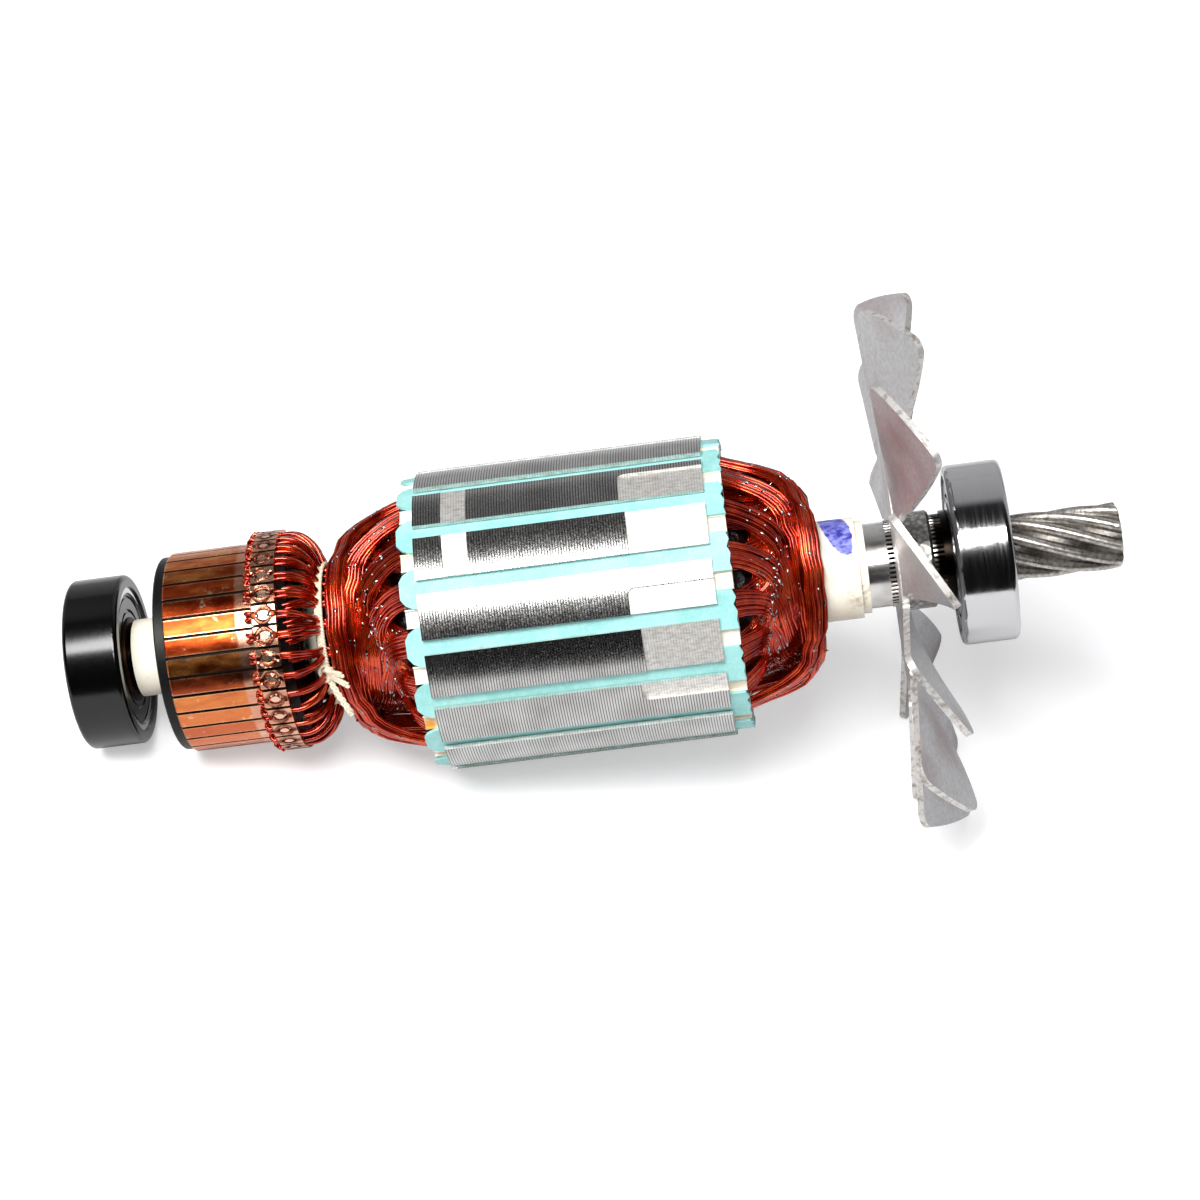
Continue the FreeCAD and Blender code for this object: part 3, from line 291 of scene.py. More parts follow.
def patch(tree, along, angle, ends, turns, fade):
    """One on a patch between two places along and two angles, fading out over some millimetres."""
    sides = []
    for value, low, high, soft in (
        (along, ends[0] * MM, ends[1] * MM, fade * MM),
        (angle, math.radians(turns[0]), math.radians(turns[1]), math.radians(2.5 * fade)),
    ):
        enters, leaves = (
            add(tree, "ShaderNodeMapRange", (value, start, end), interpolation_type="SMOOTHSTEP")
            for start, end in ((low - soft, low + soft), (high + soft, high - soft)))
        sides.append(maths(tree, "MULTIPLY", enters, leaves))
    return maths(tree, "MULTIPLY", *sides)


def dress(name, material):
    """Give a CAD node its finish."""
    slots = nodes[name].data.materials
    slots.clear()
    slots.append(material)


# Ground steel: fine rings from the wheel, small rust specks, brown oil film in the hollows.
steel, tree = new_material("ground_steel")
place, along, radius, angle = shaft_places(tree)
rings = noise(tree, stretched(tree, place, (60.0, 1.5, 1.5)), 12, 3.0)
smudge = noise(tree, place, 5, 5.0)
specks = noise(tree, place, 0.8, 3.0, 0.6)
rust = rescaled(tree, specks, 0.66, 0.74)
film = rescaled(tree, smudge, 0.45, 0.75, 0.0, 0.6)
bare = mix(tree, film, "#dcdbd8", "#b4afa8")
in_pinion = maths(tree, "GREATER_THAN", along, (PINION_START - 1) * MM)
grey_specks = rescaled(tree, specks, 0.35, 0.6)
hobbed = maths(tree, "MULTIPLY", in_pinion, grey_specks)
worn = mix(tree, hobbed, bare, "#a59d93")
speckled = mix(tree, rust, worn, "#6a4630")
crest = blend(tree, in_pinion, KNURL_RADIUS * MM, PINION_RADII[0] * MM)
depth = maths(tree, "SUBTRACT", crest, radius)
deepest = blend(tree, in_pinion, 0.28 * MM, (PINION_RADII[0] - PINION_RADII[1]) * MM)
depth_share = maths(tree, "DIVIDE", depth, deepest)
first_depth = blend(tree, in_pinion, 0.1, 0.45)
full_depth = blend(tree, in_pinion, 0.45, 1.25)
hollow = rescaled(tree, depth_share, first_depth, full_depth)
past_knurl = maths(tree, "GREATER_THAN", along, KNURL_START * MM)
oil = maths(tree, "MULTIPLY", hollow, past_knurl)
oiled = mix(tree, oil, speckled, "#261f19")
# Painted shade with some oil: between the fan collar and the pinion bearing the shaft is made nearly black,
# standing in for the shade there. Inside the tail bearing it is darkened for oil and rust.
behind_fan = patch(tree, along, angle, OIL_AND_SHADE_ENDS, ALL_ROUND, 0.5)
in_bearing = patch(tree, along, angle, TAIL_END, ALL_ROUND, 0.3)
dark_ends = maths(tree, "MAXIMUM", behind_fan, in_bearing)
shaft_tone = mix(tree, dark_ends, oiled, "#15110e")
handled = rescaled(tree, smudge, 0.3, 0.8, 0.14, 0.3)
shaft_roughness = maths(tree, "MULTIPLY_ADD", in_pinion, 0.18, handled)
grinding = bump(tree, rings, 0.01, 0.2)
hobbing = maths(tree, "MULTIPLY", in_pinion, 0.5)
skin(tree, {
    "Metallic": 1.0,
    "Base Color": shaft_tone,
    "Roughness": shaft_roughness,
    "Normal": bump(tree, specks, 0.12, hobbing, grinding),
})
dress("shaft", steel)


# Insulation tube, paper wrap, slot paper and end insulators.
# Cream insulation moulded on the shaft and cut from board, soiled with copper dust and handling. A
# smear of blue marking ink is left near the end of the wrap, and varnish has run on one block.

INK_PLACE, INK_TURN = 78.8, -58.0
INK_HALF_LENGTH, INK_HALF_TURN = 2.6, 44.0
INK_LEAN = 0.038
DIRT_ENDS, DIRT_TURNS = (80.0, 84.6), (22.0, 52.0)
VARNISH_ENDS, VARNISH_TURNS = (-3.2, -0.6), (42.0, 49.0)


def length_of(tree, one, other):
    """How far the point that two numbers give is from nought."""
    pair = add(tree, "ShaderNodeCombineXYZ", (one, other))
    return add(tree, "ShaderNodeVectorMath", (pair,), operation="LENGTH").outputs["Value"]


# Cream pressboard: short fibres, faint clouds, a satin skin.
board, tree = new_material("cream_insulation_board")
place, along, _, angle = shaft_places(tree)
fibres = noise(tree, place, 0.9, 6.0, 0.6)
cloud = noise(tree, place, 6, 4.0)
clean = mix(tree, rescaled(tree, cloud, 0.35, 0.7), "#f7f2e4", "#ebe1cb")
slanting = add(tree, "ShaderNodeMapping", {
    "Vector": place, "Rotation": (0.4, 0.5, 0.2), "Scale": (0.8, 1.4, 1.4)})
streaks = noise(tree, slanting, 1.6, 6.0, 0.65)
handled = patch(tree, along, angle, DIRT_ENDS, DIRT_TURNS, 1.6)
smears = rescaled(tree, streaks, 0.48, 0.66, 0.0, 0.8)
smears = maths(tree, "MULTIPLY", smears, handled)
dust = rescaled(tree, fibres, 0.62, 0.78, 0.0, 0.4)
dirt = maths(tree, "MAXIMUM", dust, smears)
soiled = mix(tree, dirt, clean, "#82786a")
lean = maths(tree, "MULTIPLY_ADD", angle, -math.degrees(INK_LEAN) * MM, along)
lean = maths(tree, "SUBTRACT", lean, (INK_PLACE - INK_LEAN * INK_TURN) * MM)
lean = maths(tree, "DIVIDE", lean, INK_HALF_LENGTH * MM)
round_ink = maths(tree, "SUBTRACT", angle, math.radians(INK_TURN))
round_ink = maths(tree, "DIVIDE", round_ink, math.radians(INK_HALF_TURN))
from_ink = length_of(tree, lean, round_ink)
ragged = maths(tree, "MULTIPLY_ADD", streaks, 0.35, from_ink)
blot = rescaled(tree, ragged, 1.22, 1.14)
thin = rescaled(tree, streaks, 0.4, 0.62)
ink_tone = mix(tree, thin, "#33289c", "#8f97de")
inked = mix(tree, blot, soiled, ink_tone)
run = patch(tree, along, angle, VARNISH_ENDS, VARNISH_TURNS, 0.9)
varnished = mix(tree, run, inked, "#e2a24c")
skin(tree, {
    "Base Color": varnished,
    "Roughness": 0.55,
    "Specular IOR Level": 0.4,
    "Normal": bump(tree, fibres, 0.08, 0.5),
})
for name in (
    "insulation_tube", "fan_side_wrap", "slot_liners", "commutator_side_insulator", "fan_side_insulator",
):
    dress(name, board)


# Lamination stack.
# Half-millimetre sheets of electrical steel pressed on the tube and ground on the outside, which
# leaves bright teeth with a fine line at each sheet; milled pockets balance the rotor.

SHEET_THICKNESS = 0.52
CORE_RADIUS = 29.3

# Ground electrical steel: mirror-like round the shaft, broken by the edge of every sheet.
laminations, tree = new_material("ground_electrical_steel")
place, along, radius, _ = shaft_places(tree)
wave = maths(tree, "MULTIPLY", along, 2 * math.pi / (SHEET_THICKNESS * MM))
sheets = maths(tree, "SINE", wave)
drag = noise(tree, stretched(tree, place, (0.7, 2.0, 2.0)), 1.1, 6.0, 0.7)
grit = noise(tree, place, 0.35, 3.0, 0.6)
cloud = noise(tree, place, 7, 4.0)
milled = rescaled(tree, radius, (CORE_RADIUS - 0.02) * MM, (CORE_RADIUS - 0.08) * MM)
seam_depth = blend(tree, milled, 0.8, 0.18)
seam = rescaled(tree, sheets, 0.15, 0.85, 0.0, seam_depth)
ground = mix(tree, rescaled(tree, cloud, 0.35, 0.7), "#d4d3d1", "#b6b4b1")
dragged = mix(tree, rescaled(tree, drag, 0.4, 0.66), "#f5f3ef", "#cfccc6")
tone = mix(tree, milled, ground, dragged)
lined = mix(tree, seam, tone, "#2c2a29")
pits = rescaled(tree, grit, 0.68, 0.76, 0.0, 0.6)
pitted = mix(tree, pits, lined, "#2b2927")
smooth_roughness = rescaled(tree, grit, 0.3, 0.7, 0.14, 0.28)
stack_roughness = blend(tree, milled, smooth_roughness, 0.6)
sheet_strength = blend(tree, milled, 0.14, 0.08)
sheet_relief = bump(tree, sheets, 0.03, sheet_strength)
drag_strength = blend(tree, milled, 0.12, 0.55)
rough_relief = bump(tree, drag, 0.06, drag_strength, sheet_relief)
skin(tree, {
    "Metallic": 1.0,
    "Base Color": pitted,
    "Roughness": stack_roughness,
    "Normal": rough_relief,
})
dress("lamination_stack", laminations)


# Slot wedges.
# Strips of turquoise vulcanised fibre pushed in under the tooth lips: waxy, a little uneven in colour,
# furred at the torn right ends and browned by varnish here and there.

# Vulcanised fibre: smooth and close, with pale flecks where the wax is thin.
fibre, tree = new_material("turquoise_vulcanised_fibre")
place = shaft_places(tree)[0]
cloud = noise(tree, place, 5, 5.0)
flecks = noise(tree, place, 0.7, 5.0, 0.7)
even = mix(tree, rescaled(tree, cloud, 0.35, 0.7), "#8ac8c4", "#9fd6d3")
flecked = mix(tree, rescaled(tree, flecks, 0.5, 0.75, 0.0, 0.55), even, "#c4e6e4")
stains = rescaled(tree, cloud, 0.66, 0.78, 0.0, 0.55)
stained = mix(tree, stains, flecked, "#8a8f6c")
skin(tree, {
    "Base Color": stained,
    "Roughness": 0.5,
    "Specular IOR Level": 0.4,
    "Normal": bump(tree, flecks, 0.05, 0.45),
})
dress("slot_wedges", fibre)


# Windings.
# Enamelled copper wire, 0.7 mm, wound turn by turn through the slots and dipped in varnish. Each coil
# leaves a slot, leans over against the shaft and enters the seventh slot on; the coils wound last
# lie outermost, and bridge over the slots that the first ones left.

WIRE_RADIUS = 0.34
SLOTS = 16
SLOT_PITCH = 360.0 / SLOTS
COIL_SPAN = 7
LAST_START = -80.45
WIRES_ACROSS = 8
WIRE_LAYERS = 3
WIRE_STEPS = 29
STACKED_COILS = 5.2
UNDER_LEVEL, OVER_LEVEL = 0.36, 0.80
SWAY = 0.095
RISE_POWER = 0.55
FULL_REACH = 0.995
ROW_SHARE = 0.034
LAYER_SHARE = 0.055
SLOT_SPREAD = 10.0
DROPS = 900
DROP_SIZE = (0.75, 0.27, 0.16)
DROP_LIFT = 0.2

# Each side: the stack's face, the way out of it, the bore, and as (distance from the stack, radius) the
# outermost and innermost lines that the wires keep to and the outline of the soaked bundle inside.
END_TURNS = {
    "commutator_side": {
        "face": 0.0, "outward": -1.0, "bore": 9.1,
        "outer": [(2.5, 26.2), (6.0, 25.0), (9.3, 23.3), (12.8, 21.3), (16.0, 19.2), (18.3, 17.0),
                  (20.0, 14.6), (20.7, 13.4)],
        "inner": [(2.5, 18.5), (4.0, 15.5), (5.0, 12.0), (6.5, 9.9), (9.0, 9.5)],
        "soaked": [(2.5, 20.8), (5.5, 18.0), (8.5, 16.6), (11.5, 16.4), (14.0, 16.0), (16.5, 14.6),
                   (18.5, 12.7), (22.4, 12.7)],
    },
    "fan_side": {
        "face": 55.3, "outward": 1.0, "bore": 9.9,
        "outer": [(3.2, 26.2), (7.6, 24.2), (11.2, 22.6), (14.6, 20.7), (17.0, 18.0), (19.0, 15.0),
                  (20.4, 12.2), (20.9, 10.4)],
        "inner": [(3.2, 18.5), (4.6, 15.5), (5.6, 12.5), (7.0, 10.6), (9.5, 10.3)],
        "soaked": [(3.2, 20.8), (6.0, 18.6), (9.0, 17.7), (12.0, 17.3), (14.0, 15.6), (15.8, 13.0),
                   (17.0, 10.3), (20.0, 10.3)],
    },
}

# Polyurethane enamel over copper: clear and red-brown, deep where the wire turns from the light.
enamel, tree = new_material("enamelled_copper_wire")
place = shaft_places(tree)[0]
cloud = noise(tree, place, 3.5, 4.0)
wire_tone = add(tree, "ShaderNodeValToRGB", (cloud,), [
    (0.3, "#8a1403"), (0.5, "#bc2c09"), (0.7, "#e25420")])
skin(tree, {
    "Metallic": 0.9,
    "Base Color": wire_tone,
    "Roughness": 0.22,
    "Coat Weight": 0.8,
    "Coat Roughness": 0.05,
})

# Baked varnish in the depth of the coils: nearly black, lumpy and glossy. The near-black is also painted
# shade, standing in for the shade between the wires.
varnish, tree = new_material("winding_varnish_and_painted_shade")
place = shaft_places(tree)[0]
lumps = noise(tree, place, 1.2, 4.0)
skin(tree, {
    "Base Color": mix(tree, lumps, "#050101", "#120301"),
    "Roughness": 0.2,
    "Specular IOR Level": 0.25,
    "Normal": bump(tree, lumps, 0.5, 0.8),
})


def node_group(name, inputs, output):
    """An empty Geometry Nodes tree with named inputs, and their sockets."""
    group = bpy.data.node_groups.new(name, "GeometryNodeTree")
    sockets = {label: group.interface.new_socket(label, in_out="INPUT", socket_type="NodeSocket" + kind)
               for label, kind in inputs.items()}
    group.interface.new_socket(output, in_out="OUTPUT", socket_type="NodeSocketGeometry")
    return group, sockets


def made_by(group, sockets, name, data, values):
    """The mesh that a Geometry Nodes tree makes of some data, with its inputs set."""
    holder = new_object(name, data)
    modifier = holder.modifiers.new(group.name, "NODES")
    modifier.node_group = group
    for label, value in values.items():
        modifier[sockets[label].identifier] = value
    mesh = bpy.data.meshes.new_from_object(holder.evaluated_get(bpy.context.evaluated_depsgraph_get()))
    bpy.data.objects.remove(holder)
    return mesh


# Geometry Nodes that give every path of a curve a round section of a radius and a material.
round_wire, wire_sockets = node_group("round_wire", {
    "Paths": "Geometry", "Radius": "Float", "Corners": "Int", "Material": "Material"}, "Wires")
given = add(round_wire, "NodeGroupInput").outputs
section = add(round_wire, "GeometryNodeCurvePrimitiveCircle", {
    "Radius": given["Radius"], "Resolution": given["Corners"]}, mode="RADIUS")
swept = add(round_wire, "GeometryNodeCurveToMesh", {
    "Curve": given["Paths"], "Profile Curve": section.outputs["Curve"], "Fill Caps": True})
smooth = add(round_wire, "GeometryNodeSetShadeSmooth", (swept,))
real = add(round_wire, "GeometryNodeRealizeInstances", (smooth,))
finished = add(round_wire, "GeometryNodeSetMaterial", {"Geometry": real, "Material": given["Material"]})
add(round_wire, "NodeGroupOutput", (finished,))


def wires(name, paths, material, radius, corners=6, closed=False):
    """One mesh of round wires of a radius in millimetres along lists of points."""
    curve = bpy.data.curves.new(name + "_paths", "CURVE")
    curve.dimensions = "3D"
    for path in paths:
        spline = curve.splines.new("POLY")
        spline.points.add(len(path) - 1)
        spline.use_cyclic_u = closed
        for point, spot in zip(spline.points, path):
            point.co = (*spot, 1.0)
    mesh = made_by(round_wire, wire_sockets, name + "_paths", curve,
                   {"Radius": radius * MM, "Corners": corners, "Material": material})
    mesh.name = name
    return new_object(name, mesh)


def on_line(corners, share):
    """A point at a share of the length of a line through corners."""
    runs = [math.dist(one, two) for one, two in zip(corners, corners[1:])]
    left = max(0.0, min(1.0, share)) * sum(runs)
    for run, one, two in zip(runs, corners, corners[1:]):
        if left <= run:
            break
        left -= run
    return [a + (b - a) * min(1.0, left / run) for a, b in zip(one, two)]


def standing(progress):
    """How far a coil stands out of the slots, by the share of its span that it has gone."""
    return math.sin(math.pi * progress) ** 0.45 if 0 < progress < 1 else 0.0


def coils_beneath(coil, progress):
    """How many coils wound earlier lie under this one at that place."""
    return sum(standing(progress + (lap - coil + other) / COIL_SPAN)
               for other in range(coil) for lap in (0, SLOTS))


def core_radius(side, away):
    """The soaked bundle's radius at a distance from the stack."""
    for (near, near_radius), (far, far_radius) in zip(side["soaked"], side["soaked"][1:]):
        if near <= away <= far:
            return near_radius + (far_radius - near_radius) * (away - near) / (far - near)
    return 0.0


def coil_paths(side, draw):
    """The turns of all coils over one side of the stack."""
    paths = []
    for coil in range(SLOTS):
        start = LAST_START + (SLOTS - 1 - coil) * SLOT_PITCH
        first_level = OVER_LEVEL if coil >= SLOTS - COIL_SPAN else UNDER_LEVEL
        last_level = OVER_LEVEL if coil >= COIL_SPAN else UNDER_LEVEL
        steps = []
        for step in range(WIRE_STEPS):
            u = (1 - math.cos(math.pi * step / (WIRE_STEPS - 1))) / 2
            turned = u - SWAY * math.sin(2 * math.pi * u)
            rise = max(0.0, math.sin(math.pi * u)) ** RISE_POWER
            slot_level = first_level if u < 0.5 else last_level
            stacked = (coils_beneath(coil, turned) + 0.6) / STACKED_COILS
            steps.append((u, turned, rise, slot_level + (stacked - slot_level) * min(1.0, rise * 1.25)))
        for row in range(WIRES_ACROSS):
            for layer in range(WIRE_LAYERS):
                reach = FULL_REACH - row * ROW_SHARE + draw.uniform(-0.012, 0.0)
                depth = layer + draw.uniform(0.0, 0.7)
                sideways = (0.5 - row / (WIRES_ACROSS - 1)) * SLOT_SPREAD + draw.uniform(-1.0, 1.0)
                wander = draw.uniform(0, 2 * math.pi)
                path = []
                for u, turned, rise, level in steps:
                    share = reach * rise + 0.007 * math.sin(wander + 9 * u) * rise
                    out, high = on_line(side["outer"], share)
                    low_out, low = on_line(side["inner"], share)
                    lift = max(0.02, level - depth * LAYER_SHARE)
                    away = low_out + (out - low_out) * lift
                    wire_at = max(low + (high - low) * lift, side["bore"] + WIRE_RADIUS,
                                  core_radius(side, away) - WIRE_RADIUS * depth * 0.4)
                    turn = start + COIL_SPAN * SLOT_PITCH * turned - sideways * math.cos(math.pi * u)
                    path.append(on_shaft(side["face"] + side["outward"] * away, wire_at, turn))
                paths.append(path)
    return paths


def turned_shell(name, outline, material, steps=64):
    """A closed form turned about the shaft from (along, radius) points."""
    count = len(outline)
    corners = [on_shaft(*spot, 360.0 * step / steps) for step in range(steps) for spot in outline]
    faces = []
    for step in range(steps):
        here, there = step * count, (step + 1) % steps * count
        for i in range(count):
            after = (i + 1) % count
            faces.append((here + i, there + i, there + after, here + after))
    mesh = bpy.data.meshes.new(name)
    mesh.from_pydata(corners, [], faces)
    mesh.materials.append(material)
    for face in mesh.polygons:
        face.use_smooth = True
    return new_object(name, mesh)


# Varnish drops that dried between the wires: clear, brown and shining.
drop_varnish, tree = new_material("dried_varnish_drops")
skin(tree, {
    "Base Color": "#1c0502",
    "Roughness": 0.07,
    "Specular IOR Level": 1.0,
    "IOR": 2.2,
})

# Geometry Nodes that lay a flat drop, each of another size, on every point of a mesh; the point's
# attribute "lie" is the drop's rotation.
drops_tree, drop_sockets = node_group("varnish_drops", {
    "Places": "Geometry", "Size": "Vector", "Seed": "Int", "Material": "Material"}, "Drops")
given = add(drops_tree, "NodeGroupInput").outputs
ball = add(drops_tree, "GeometryNodeMeshIcoSphere", {"Radius": 1.0, "Subdivisions": 2})
drop = add(drops_tree, "GeometryNodeTransform", {
    "Geometry": ball.outputs["Mesh"], "Scale": given["Size"]})
lie = add(drops_tree, "GeometryNodeInputNamedAttribute", data_type="FLOAT_VECTOR")
lie.inputs["Name"].default_value = "lie"
growth = add(drops_tree, "FunctionNodeRandomValue", {2: 0.5, 3: 1.25, "Seed": given["Seed"]})
spread = add(drops_tree, "GeometryNodeInstanceOnPoints", {
    "Points": given["Places"], "Instance": drop, "Rotation": lie, "Scale": growth})
real = add(drops_tree, "GeometryNodeRealizeInstances", (spread,))
smooth = add(drops_tree, "GeometryNodeSetShadeSmooth", (real,))
finished = add(drops_tree, "GeometryNodeSetMaterial", {"Geometry": smooth, "Material": given["Material"]})
add(drops_tree, "NodeGroupOutput", (finished,))

for side_name, side in END_TURNS.items():
    paths = coil_paths(side, random.Random(11))
    coils = wires(side_name + "_coil_wires", paths, enamel, WIRE_RADIUS)
    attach(coils, "wound_rotor")
    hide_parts(side_name + "_end_turns")
    draw = random.Random(23)
    places, turns = [], []
    for drop in range(DROPS):
        path = paths[draw.randrange(0, len(paths), WIRE_LAYERS)]
        step = draw.randrange(3, WIRE_STEPS - 3)
        spot, ahead = path[step], (path[step + 1] - path[step - 1]).normalized()
        out = spot - shaft_zero
        out = (out - shaft_axis * out.dot(shaft_axis)).normalized()
        tilted = (out + Vector([draw.uniform(-0.6, 0.6) for _ in range(3)])).normalized()
        beside = tilted.cross(ahead).normalized()
        lying = Matrix((beside.cross(tilted), beside, tilted)).transposed()
        places.append(spot + out * (DROP_LIFT * MM))
        turns += lying.to_euler()
    spots = bpy.data.meshes.new(side_name + "_drop_spots")
    spots.from_pydata(places, [], [])
    spots.attributes.new("lie", "FLOAT_VECTOR", "POINT").data.foreach_set("vector", turns)
    drops = new_object(side_name + "_varnish_drops", made_by(
        drops_tree, drop_sockets, side_name + "_drop_spots", spots,
        {"Size": [s * MM for s in DROP_SIZE], "Seed": 4, "Material": drop_varnish}))
    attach(drops, "wound_rotor")
    # A nearly black turned shell under the wires: varnish, and also painted shade for the depth of the
    # coils.
    face, way, soaked = side["face"], side["outward"], side["soaked"]
    outline = [(soaked[0][0], side["bore"]), *soaked, (soaked[-1][0], side["bore"])]
    outline = [(face + way * out, high) for out, high in outline]
    if way > 0:
        outline.reverse()
    bundle = turned_shell(side_name + "_varnish_and_painted_shade_shell", outline, varnish)
    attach(bundle, "wound_rotor")
# The coil sides in the slots take the same near-black: varnish and painted shade.
dress("coil_sides", varnish)


# Commutator.
# Hard-drawn copper bars in a black moulding. The brushes have worn a dark golden track; the risers
# are pinker, and each is staked down on the wires that lie in its slot.

BARS = 32
BAR_PHASE = 2.6
TRACK_END = -36.2
RISER_START = -33.0
STAKE_ALONG = -30.6
STAKE_HALF = 1.9

# Worn copper: each bar its own brown or gold, streaked the way the brushes slide.
bar_copper, tree = new_material("worn_commutator_copper")
place, along, _, angle = shaft_places(tree)
counted = maths(tree, "SUBTRACT", angle, math.radians(BAR_PHASE))
counted = maths(tree, "MULTIPLY", counted, BARS / (2 * math.pi))
bar = maths(tree, "FLOOR", counted)
across_bar = maths(tree, "FRACT", counted)
shade = add(tree, "ShaderNodeTexWhiteNoise", {"W": bar}, noise_dimensions="1D")
film = noise(tree, stretched(tree, place, (1.0, 2.5, 2.5)), 7, 5.0, 0.6)
scratches = noise(tree, stretched(tree, place, (9.0, 0.6, 0.6)), 3, 4.0)
splashes = noise(tree, place, 2.6, 5.0, 0.65)
stain = maths(tree, "MULTIPLY", film, 0.65)
stain = maths(tree, "MULTIPLY_ADD", shade, 0.35, stain)
track = add(tree, "ShaderNodeValToRGB", (stain,), [
    (0.3, "#8a2c12"), (0.45, "#bb4f22"), (0.58, "#db8c46"), (0.75, "#aa4029")])
# Painted reflection: the bars below the near side are made lighter, standing in for the white table they
# face.
painted_floor_reflection = rescaled(tree, angle, math.radians(12.0), math.radians(40.0), 0.0, 0.65)
track = mix(tree, painted_floor_reflection, track, "#d87a50")
splashed = mix(tree, rescaled(tree, splashes, 0.6, 0.68, 0.0, 0.7), track, "#e9c9a4")
riser_tone = add(tree, "ShaderNodeValToRGB", (film,), [(0.35, "#c98468"), (0.7, "#e8b498")])
past_track = rescaled(tree, along, (TRACK_END - 0.3) * MM, (TRACK_END + 0.3) * MM)
bars_tone = mix(tree, past_track, splashed, riser_tone)
# Painted highlight: both edges of every bar are made lighter.
edge = maths(tree, "SUBTRACT", across_bar, 0.5)
edge = maths(tree, "ABSOLUTE", edge)
edge = rescaled(tree, edge, 0.36, 0.42, 0.0, 0.6)
edge_highlighted = mix(tree, edge, bars_tone, "#f0c39a")
stake_along = maths(tree, "SUBTRACT", along, STAKE_ALONG * MM)
stake_along = maths(tree, "DIVIDE", stake_along, STAKE_HALF * MM)
stake_across = maths(tree, "SUBTRACT", across_bar, 0.5)
stake_across = maths(tree, "MULTIPLY", stake_across, 2.7)
bow = maths(tree, "MULTIPLY", stake_along, stake_along)
bow = maths(tree, "ADD", bow, maths(tree, "ABSOLUTE", stake_across))
from_bow = maths(tree, "ABSOLUTE", maths(tree, "SUBTRACT", bow, 1.0))
worked = rescaled(tree, splashes, 0.4, 0.6, 0.35, 0.95)
groove = rescaled(tree, from_bow, 0.42, 0.12, 0.0, worked)
tip = maths(tree, "SUBTRACT", maths(tree, "ABSOLUTE", stake_along), 0.92)
from_tip = length_of(tree, tip, stake_across)
groove = maths(tree, "MAXIMUM", groove, rescaled(tree, from_tip, 0.5, 0.25))
groove = maths(tree, "MULTIPLY", groove, past_track)
dented = mix(tree, groove, edge_highlighted, "#6a2410")
on_stake = maths(tree, "MULTIPLY", rescaled(tree, bow, 0.8, 0.5, 0.0, 0.7), past_track)
bright = mix(tree, on_stake, dented, "#f3cdb6")
sliding = bump(tree, scratches, 0.02, 0.3)
skin(tree, {
    "Metallic": 1.0,
    "Base Color": bright,
    "Roughness": rescaled(tree, film, 0.3, 0.8, 0.18, 0.34),
    "Normal": bump(tree, groove, 0.3, 0.7, sliding, invert=True),
})
dress("commutator_bars", bar_copper)
dress("commutator_bush", bar_copper)

# Phenolic moulding compound: black, dull, with brush dust lying on it.
moulding, tree = new_material("black_phenolic_moulding")
place = shaft_places(tree)[0]
dust = noise(tree, place, 0.6, 5.0, 0.7)
skin(tree, {
    "Base Color": mix(tree, rescaled(tree, dust, 0.55, 0.8), "#050404", "#1c1613"),
    "Roughness": 0.42,
    "Specular IOR Level": 0.25,
    "Normal": bump(tree, dust, 0.06, 0.5),
})
dress("commutator_moulding", moulding)
dress("commutator_bands", steel)

# Loops of wire that stand out of each riser's slot on the track side. Each point of a loop is its
# place from the riser, its radius, its share of the loop's rise and its turn sideways.
LOOP_RADIUS = 0.4
LOOP = (
    (0.3, 21.0, 0.0, 0.0), (-0.35, 21.0, 1.0, 0.0), (-1.0, 20.7, 0.4, 0.5), (-1.1, 20.1, 0.0, 0.5),
    (-0.4, 19.85, 0.0, 0.0), (0.3, 19.9, 0.0, 0.0),
)
draw = random.Random(3)
loops = []
for bar in range(BARS):
    middle = BAR_PHASE + (bar + 0.5) * 360.0 / BARS
    for strand in (-1, 1):
        turn = middle + strand * 1.3
        rise = draw.uniform(0.2, 0.6)
        loops.append([on_shaft(RISER_START + out, high + rise * share, turn + strand * swing)
                      for out, high, share, swing in LOOP])
loop_wires = wires("riser_wire_loops", loops, enamel, LOOP_RADIUS, corners=8)
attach(loop_wires, "wound_rotor")


# Lead wires.
# Enamelled wires leave each riser, bend over together and run down to the neck, where the leads of two
# neighbouring bars meet under the cord and go in under the coils. A nearly black cone of varnish lies
# between them, which is also painted shade standing in for the deep shade there.

LEAD_RADIUS = 0.46
LEAD_STEPS = 18
LEAD_ENDS = (-28.4, -19.0)
LEAD_STRANDS = 4
LEAD_PAIR_TURN = 2.2
LEAD_TOP_RADIUS = 20.6
LEAD_NECK_PLACE = -21.4
LEAD_NECK_RADIUS = 13.0
LEAD_VARNISH_AND_SHADE = [(-28.25, 9.4), (-28.25, 18.0), (-27.2, 17.4), (-26.0, 15.2), (-24.9, 12.6),
                (-24.3, 10.6), (-24.3, 9.4)]

